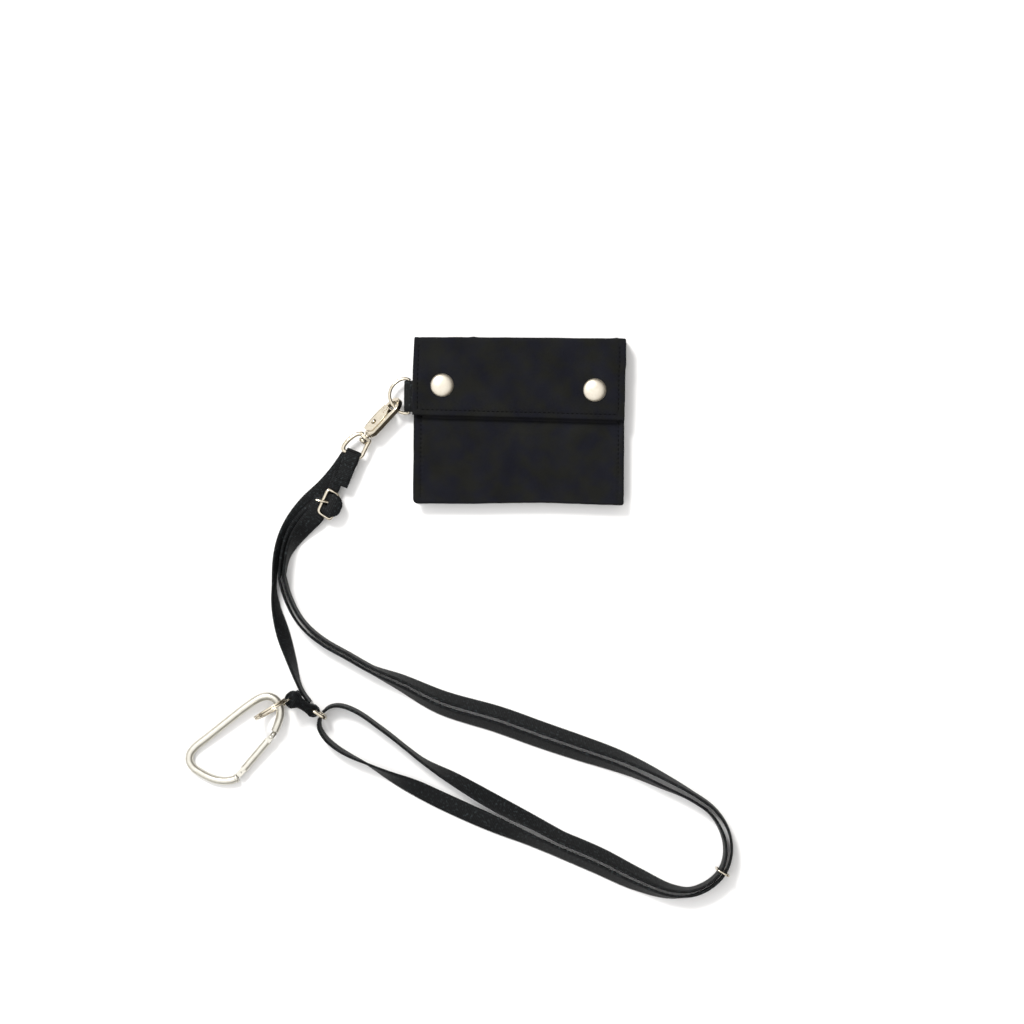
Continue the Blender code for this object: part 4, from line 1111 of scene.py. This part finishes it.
D_POINTS = [
    (BAR_X, 21.6), (-60.6, 22.1), (-63.4, 21.4), (-66.2, 19.4), (-68.3, 16.2), (-68.8, 12.8),
    (-68.1, 10.1), (-66.7, 7.6), (-64.4, 5.2), (-61.6, 4.0), (BAR_X, 4.0),
]
d_line = smooth([(x, y, D_Z) for x, y in D_POINTS], 0.5)
d_bar = [(BAR_X, 4.4 + 16.8 * k / 24, D_Z) for k in range(1, 24)]
hardware(
    "d_ring_wire", [tubed(np.vstack([d_line, d_bar]), BAR_R, (0, 0, 1), True, 20)],
    NICKEL, "d_ring", "d_ring",
)

# ---------------------------------------------------------------- trigger hook

HOOK_TILT = math.radians(55)
forward = Vector((0.6606, 0.7507, 0)).normalized()
lateral = Vector((-forward.y, forward.x, 0))
towards_lever = math.cos(HOOK_TILT) * lateral - math.sin(HOOK_TILT) * Vector((0, 0, 1))
hook_normal = math.sin(HOOK_TILT) * lateral + math.cos(HOOK_TILT) * Vector((0, 0, 1))
hook_origin = Vector((*turned(-79.8, -6.9), 6.2))
hook_place = basis(hook_origin, forward, towards_lever, hook_normal)
EYE_X = 18.3
HOOK_OUTLINE = [(0.0, -3.0), (2.5, -4.7), (EYE_X - 1, -5.1)]
HOOK_OUTLINE += arc(EYE_X, 0, 6.7, 5.2, -80, 84, 24)
HOOK_OUTLINE += [(17.9, 5.1), (17.9, 3.3)]
HOOK_OUTLINE += arc(EYE_X, 0, 3.8, 3.3, 88, -100, 20)
HOOK_OUTLINE += [
    (15.5, -2.4), (10.2, -2.2), (9.3, 0.2), (8.6, 3.6), (6.8, 4.2), (5.2, 3.4), (3.0, 2.2), (0.0, 3.0),
]
post_place = hook_place @ Matrix.Rotation(-math.pi / 2, 4, "Y")
POST = [
    (0, -0.6), (2.2, -0.6), (2.6, 0.5), (1.35, 0.6), (1.35, 3.65), (2.1, 3.75), (2.35, 4.2), (2.3, 4.7),
    (1.7, 5.5), (0, 5.8),
]
shank = prism(HOOK_OUTLINE, -1.4, 1.4, hook_place)
hardware("hook_shank", [shank], NICKEL, "hook", "hook_body", bevel=0.75)
hardware("hook_swivel_post", [lathed(POST, post_place, 36)], NICKEL, "hook", bevel=0.12)

CHEEK = [
    (2.6, -2.4), (9.2, -2.9), (14.2, -2.6), (17.6, -0.6), (18.3, 2.8), (17.6, 4.7), (14.0, 5.6),
    (8.0, 6.0), (3.0, 5.5), (1.0, 4.4), (0.9, 1.0),
]
COVER = [
    (13.4, 4.5), (17.5, 3.3), (17.5, 4.7), (14.0, 5.5), (8.0, 5.8), (3.0, 5.4), (1.0, 4.8), (1.2, 4.5),
]
lever_shapes = [(CHEEK, -2.0, -1.05), (CHEEK, 1.05, 2.0), (COVER, -2.0, 2.0)]
for k in range(4):  # the ridges on the cheek
    x = 14.2 + 1.0 * k
    ridge = [(x - 0.28, 0.4), (x + 0.28, 0.4), (x + 0.28, 4.9), (x - 0.28, 4.9)]
    lever_shapes.append((ridge, 1.9, 2.35))
for k in range(5):  # the teeth along the thumb's edge
    x, drop = 11.6 + 1.15 * k, 0.17 * k
    tooth = [(x - 0.32, 5.0), (x + 0.32, 5.0), (x + 0.2, 6.15 - drop), (x - 0.2, 6.2 - drop)]
    lever_shapes.append((tooth, -1.7, 1.7))
lever = [prism(outline, z0, z1, hook_place) for outline, z0, z1 in lever_shapes]
hardware("hook_lever", lever, NICKEL, "trigger", "hook_trigger", bevel=0.28)
RIVET = [(0, -2.95), (0.9, -2.95), (1.35, -2.75), (1.5, -2.3), (0.65, -2.2)]
rivet_place = hook_place @ Matrix.Translation((7.0, 2.2, 0))
pin("hook_rivet", RIVET, rivet_place, 28, NICKEL, "hook", "trigger_rivet")
turns = np.arange(0, 34, 0.4) * math.pi / 5
coil = np.column_stack([12.3 + 0.75 * np.cos(turns), -1.55 + turns * 0.09, 0.75 * np.sin(turns)])
hardware(
    "hook_spring", [tubed(moved(coil, hook_place), 0.22, towards_lever, False, 8)],
    STEEL, "hook", "trigger_spring",
)

# ---------------------------------------------------------------- swivel bail and the folded tape on it

flat_place = basis(hook_origin, forward, lateral, Vector((0, 0, 1)))
BAIL = [
    (-1.9, 3.0), (-3.8, 4.6), (-7.0, 5.6), (-10.6, 6.0), (-13.6, 5.5), (-14.8, 4.2), (-14.3, 2.0),
    (-13.6, -0.4), (-12.8, -2.6), (-12.0, -4.4), (-10.6, -4.8), (-7.6, -4.0), (-4.8, -3.2),
    (-3.4, -2.9), (-2.2, -2.6),
]
bail_line = moved(smooth([(*p, 0) for p in BAIL], 0.4), flat_place)
collar_place = flat_place @ Matrix.Rotation(-math.pi / 2, 4, "Y")
COLLAR = [(1.75, 1.4), (2.9, 1.4), (3.3, 1.75), (3.3, 3.0), (2.9, 3.4), (1.75, 3.45)]
collar = lathed(COLLAR, collar_place, 8, closed=True)
hardware(
    "swivel_bail_wire", [tubed(bail_line, 1.15, (0, 0, 1), False, 20), collar],
    NICKEL, "lanyard", "swivel_bail", bevel=0.25,
)

bar_middle = flat_place @ Vector((-13.8, -0.4, 0))
web_way = Vector((-0.374, -0.928, 0)).normalized()
web_side = Vector((-web_way.y, web_way.x, 0))
fold_place = basis(bar_middle, web_way, Vector((0, 0, 1)), -web_side)
fold_turn = 1.15 + 0.3 + WEB_T / 2
FOLD = [(17.2, fold_turn - 1.0), (15.6, fold_turn - 0.6), (12, fold_turn - 0.1)]
FOLD += [(8, fold_turn), (0.3, fold_turn)]
FOLD += arc(0, 0, fold_turn, fold_turn, 100, 260, 8) + [(0.3, -fold_turn), (4.5, -fold_turn + 0.1)]
fold_line = moved([(x, y, -0.7) for x, y in FOLD], fold_place)
bent_tape("hook_strap_fold_tape", fold_line, web_side, 8.2, "lanyard", replaces=("hook_strap_fold",))
ANCHOR = [(11.0, 0.4, 1.9), (14.0, 0.2, 1.9), (18.0, -0.4, 1.9), (22.0, -1.1, 1.9), (26.0, -1.5, 1.6)]
bent_tape("buckle_anchor_tape", moved(ANCHOR, fold_place), web_side, 6.2, "lanyard")
fold_box = [[(s, t) for t in np.linspace(-3.6, 3.6, 12)] for s in (5.2, 14.2)]
fold_box += [[(s, t) for s in np.linspace(5.2, 14.2, 14)] for t in (-3.4, 3.4)]
fold_top = fold_turn + WEB_T / 2
fold_rows = [moved([(s, fold_top - 0.02 * s, t) for s, t in row], fold_place) for row in fold_box]
stitches("hook_fold_stitches", fold_rows, "lanyard", "webbing", 1.7)

# ---------------------------------------------------------------- buckle


def at(x, y, z):
    return Vector((*turned(x, y), z))


def rounded_loop(points, radius):
    """A closed line through the points, with its corners rounded."""
    out, steps = [], 6
    for i, p in enumerate(points):
        a, b = (points[i - 1] - p).normalized(), (points[(i + 1) % len(points)] - p).normalized()
        start, end = p + a * radius, p + b * radius
        for k in range(steps + 1):
            t = k / steps
            out.append(tuple((1 - t) ** 2 * start + 2 * t * (1 - t) * p + t**2 * end))
    return np.array(out)


top_left, low_left = at(-100.8, -35.4, 7.0), at(-106.4, -47.6, 7.0)
top_right, low_right = at(-95.3, -39.2, 5.8), at(-99.8, -51.8, 5.8)
frame_line = rounded_loop([top_left, low_left, low_right, top_right], 2.0)
hinge = (top_right + low_right) / 2
bar_way = (top_right - low_right).normalized()
over_way = (top_left - top_right).normalized()
over_way = (over_way - bar_way * over_way.dot(bar_way)).normalized()
rise_way = over_way.cross(bar_way)
if rise_way.z < 0:
    rise_way = -rise_way
hinge_place = basis(hinge, over_way, rise_way, over_way.cross(rise_way))
hardware(
    "buckle_frame_wire", [tubed(frame_line, 0.92, rise_way, True, 18)],
    NICKEL, "lanyard", "buckle_frame",
)
PRONG_ALONG, PRONG_LEAN = 2.2, math.radians(8)  # the prong sits off the middle of its bar and leans
prong_way = math.cos(PRONG_LEAN) * over_way - math.sin(PRONG_LEAN) * bar_way
prong_place = basis(hinge + bar_way * PRONG_ALONG, prong_way, rise_way, prong_way.cross(rise_way))
PRONG = smooth([(1.5, 1.1, 0), (3.2, 1.5, 0), (5.2, 1.7, 0), (7.8, 2.0, 0), (10.9, 1.4, 0)], 0.4)
PRONG_RING = [(1.44, -0.75), (2.15, -0.75), (2.15, 0.75), (1.44, 0.75)]
prong_ring = lathed(PRONG_RING, prong_place, 30, closed=True)
prong_width = np.interp(np.linspace(0, 1, len(PRONG)), (0, 0.3, 0.8, 1), (0.6, 0.78, 0.74, 0.6))
prong = tubed(moved(PRONG, prong_place), prong_width, rise_way, False, 14)
hardware("buckle_prong_pin", [prong_ring, prong], NICKEL, "prong", "buckle_prong", bevel=0.1)
loop_turn = 0.92 + 0.3 + 0.6
LOOP = [(3.9, loop_turn), (0.2, loop_turn)]
LOOP += arc(0, 0, loop_turn, loop_turn, 100, 260, 8)
LOOP += [(0.2, -loop_turn), (3.9, -loop_turn)]
for name, middle, width in (("a", -1.5, 4.4), ("b", 4.1, 1.4)):
    loop_place = Matrix.Translation(bar_way * middle) @ hinge_place
    line = moved([(x, y, 0) for x, y in LOOP], loop_place)
    stands_for = ("buckle_loop",) if name == "a" else ()
    bent_tape("buckle_loop_tape_" + name, line, bar_way, width, "lanyard", thick=1.2, replaces=stands_for)

# ---------------------------------------------------------------- rings on the strap


def boxy(centre, along, rx, rz, power):
    """A rounded-square loop standing on edge."""
    angles = np.arange(64) * 2 * math.pi / 64
    c, s = np.cos(angles), np.sin(angles)
    x, z = np.sign(c) * np.abs(c) ** power * rx, np.sign(s) * np.abs(s) ** power * rz
    return np.column_stack([centre[0] + along[0] * x, centre[1] + along[1] * x, centre[2] + z])


keeper_centre, keeper_way = at(106.6, -237.2, 6.5), (0.86, -0.51)
keeper_loop = boxy(keeper_centre, keeper_way, 4.0, 6.1, 0.5)
hardware(
    "keeper_ring_wire", [tubed(keeper_loop, 0.52, (keeper_way[1], -keeper_way[0], 0), True, 16)],
    NICKEL, "keeper", "keeper_ring",
)
ring_centre, ring_way = at(-105.8, -153.9, 6.05), (0.84, -0.54)
ring_loop = boxy(ring_centre, ring_way, 3.9, 5.05, 0.5)
hardware(
    "tab_ring_wire", [tubed(ring_loop, 0.95, (ring_way[1], -ring_way[0], 0), True, 18)],
    NICKEL, "tab_ring", "tab_ring",
)

tab_start, tab_end = Vector((-119.0, -145.8)), Vector((-108.9, -152.4))
tab_way = (tab_end - tab_start).normalized()
tab_out = Vector((-tab_way.y, tab_way.x))
tab_length = (tab_end - tab_start).length
TAB = (
    (0, 3.9, 8.6), (tab_length * 0.35, 2.0, 6.0), (tab_length * 0.7, 1.8, 3.9), (tab_length, 2.6, 2.7),
    (tab_length + 1.9, 1.9, 2.85),
)
tab_route = []
for side, places in ((1, TAB), (-1, TAB[::-1])):
    for s, w, lift in places:
        p = tab_start + tab_way * s + tab_out * w * side
        tab_route.append((p.x, p.y, lift, 90, 8.2 if s < tab_length else 6.5))
    tip = tab_end + tab_way * 2.9 if side == 1 else tab_start - tab_way * 3.7
    tab_route.append((tip.x, tip.y, 2.85, 90, 6.2) if side == 1 else (tip.x, tip.y, 8.4, 90, 8.0))
tab_rows = smooth(lifted(tab_route), RIB / RIB_STEPS, closed=True)
tab_along = tangents(tab_rows[:, :3], True)
tab_normal = np.cross((0, 0, 1), tab_along)
tab_normal /= np.linalg.norm(tab_normal, axis=1)[:, None]
tab_across = -np.cross(tab_along, tab_normal)
webbing(
    "carabiner_tab_tape", tab_rows[:, :3], tab_across, tab_normal, tab_rows[:, 4], "lanyard",
    thick=1.3, closed=True, replaces=("carabiner_tab",),
)

TAB_CAP = (  # along the tab, height, width of the fold that closes its top
    (-3.6, 14.6, 3.0), (-3.0, 15.4, 6.5), (-1.2, 16.0, 9.2), (1.5, 15.5, 8.6),
    (tab_length * 0.35, 13.2, 5.6), (tab_length * 0.7, 11.2, 5.2), (tab_length, 8.9, 6.4),
    (tab_length + 1.8, 8.3, 5.4), (tab_length + 2.8, 7.6, 3.0),
)
cap_rows = []
for s, z, width in TAB_CAP:
    p = tab_start + tab_way * s
    cap_rows.append((*turned(p.x, p.y), z, math.radians(8 * math.sin(s)), width))
laid_tape("carabiner_tab_fold", smooth(cap_rows, 0.4), "lanyard", thick=1.3)

# ---------------------------------------------------------------- split ring

split_centre = at(-129.0, -150.6, 12.4)
split_way = Vector((0.861, 0.508, 0)).normalized()
SPLIT_TILT = math.radians(2)
split_lean = Vector((-split_way.y, split_way.x, 0))
split_up = (math.cos(SPLIT_TILT) * Vector((0, 0, 1)) + math.sin(SPLIT_TILT) * split_lean).normalized()
split_place = basis(split_centre, split_way, split_up, split_way.cross(split_up))
SPLIT_TURNS, SPLIT_STEPS = 1.92, 200
wire_turn = np.linspace(0, SPLIT_TURNS * 2 * math.pi, SPLIT_STEPS) + 0.8
wire_out = np.column_stack([np.cos(wire_turn), np.sin(wire_turn), 0 * wire_turn])
wire_line = wire_out * 10.9
wire_line[:, 2] = np.linspace(-1.2, 1.2, SPLIT_STEPS)
section = [(0.85, 0.3), (0.7, 0.55), (0.4, 0.62), (-0.4, 0.62), (-0.7, 0.55), (-0.85, 0.3)]
section += [(-u, -v) for u, v in section]
wire = np.stack([wire_line + wire_out * u + np.array([0, 0, v]) for u, v in section], axis=1)
hardware(
    "split_ring_coil",
    [(moved(wire.reshape(-1, 3), split_place), ring_faces(SPLIT_STEPS, len(section), False))],
    NICKEL, "split_ring", "split_ring",
)

# ---------------------------------------------------------------- carabiner

ROD_R = 2.15
RISE = 4.1  # how much higher the end on the split ring lies
low_end, high_end = at(-172, -180, 0), at(-128, -152, 0)
slope_way = (high_end - low_end).normalized()
slope_length = (high_end - low_end).length


def lie(x, y):
    """A point of the carabiner, whose upper end rests on the split ring."""
    p = at(x, y, 0)
    return (p.x, p.y, ROD_R + RISE * (p - low_end).dot(slope_way) / slope_length)


CARABINER = [
    (-129.1, -163.2), (-127.3, -158.6), (-126.2, -154.0), (-126.7, -149.6), (-129.0, -146.2),
    (-132.7, -144.7), (-137.2, -145.7), (-144.1, -150.1), (-154.9, -158.5), (-164.9, -166.5),
    (-171.7, -171.9), (-174.2, -175.3), (-174.6, -179.0), (-172.6, -182.6), (-167.3, -186.2),
    (-161.8, -188.7), (-156.7, -189.6), (-152.2, -189.2), (-149.4, -188.1),
]
carabiner_line = smooth([lie(x, y) for x, y in CARABINER], 0.6)
gate_start, gate_end = Vector(lie(-131.1, -166.2)), Vector(lie(-147.6, -185.6))
gate_way = (gate_end - gate_start).normalized()
plane_up = (Vector((0, 0, 1)) - slope_way * (RISE / slope_length)).normalized()
gate_side = plane_up.cross(gate_way).normalized()
gate_place = basis(gate_start, gate_way, gate_side, gate_way.cross(gate_side))
gate_length = (gate_end - gate_start).length
TONGUE = [(-3.4, -1.3), (0.4, -1.3), (1.1, -0.8), (1.3, 0), (1.1, 0.8), (0.4, 1.3), (-3.4, 1.3)]
nose_way = Vector(carabiner_line[-1] - carabiner_line[-2]).normalized()
nose_side = Vector((0, 0, 1)).cross(nose_way).normalized()
nose_place = basis(Vector(carabiner_line[-1]), nose_side, nose_way.cross(nose_side), nose_way)
NOSE_HEAD = [(0, -0.9), (2.2, -0.9), (2.45, -0.6), (2.45, 0.3), (2.2, 0.6), (0, 0.6)]
frame_shapes = [
    tubed(carabiner_line, ROD_R, (0, 0, 1), False, 28, dome=0.15),
    prism(TONGUE, -0.8, 0.8, gate_place),
    lathed(NOSE_HEAD, nose_place, 28),
]
hardware("carabiner_frame", frame_shapes, ALLOY, "carabiner", "carabiner_body")
gate_line = moved([(x, 0, 0) for x in np.linspace(2.6, gate_length - 2.4, 12)], gate_place)
gate_shapes = [tubed(gate_line, 2.0, plane_up, False, 28, dome=0.05)]
EAR = [(3.2, -1.55), (3.2, 1.55), (0.2, 1.45), (-1.0, 0.9), (-1.4, 0), (-1.0, -0.9), (0.2, -1.45)]
NOSE = [(1.3, -1.5), (1.7, 0), (1.3, 1.5), (-3.6, 1.6), (-3.6, -1.6)]  # x from the gate's free end
for z0, z1 in ((-1.85, -1.0), (1.0, 1.85)):
    gate_shapes.append(prism(EAR, z0, z1, gate_place))
    gate_shapes.append(prism([(gate_length + x, y) for x, y in NOSE], z0, z1, gate_place))
hardware("carabiner_gate_bar", gate_shapes, ALLOY, "gate", "carabiner_gate", bevel=0.18)
PIN = [(0, -2.35), (0.7, -2.3), (1.0, -2.1), (0.65, -2.0)]
pin("gate_pivot_pin", PIN, gate_place, 24, ALLOY, "carabiner", "gate_rivet")
latch_place = gate_place @ Matrix.Translation((gate_length - 1.1, 0, 0))
pin("gate_latch_bar", [(0, -1.92), (0.5, -1.9)], latch_place, 20, ALLOY, "gate", "gate_latch_pin")
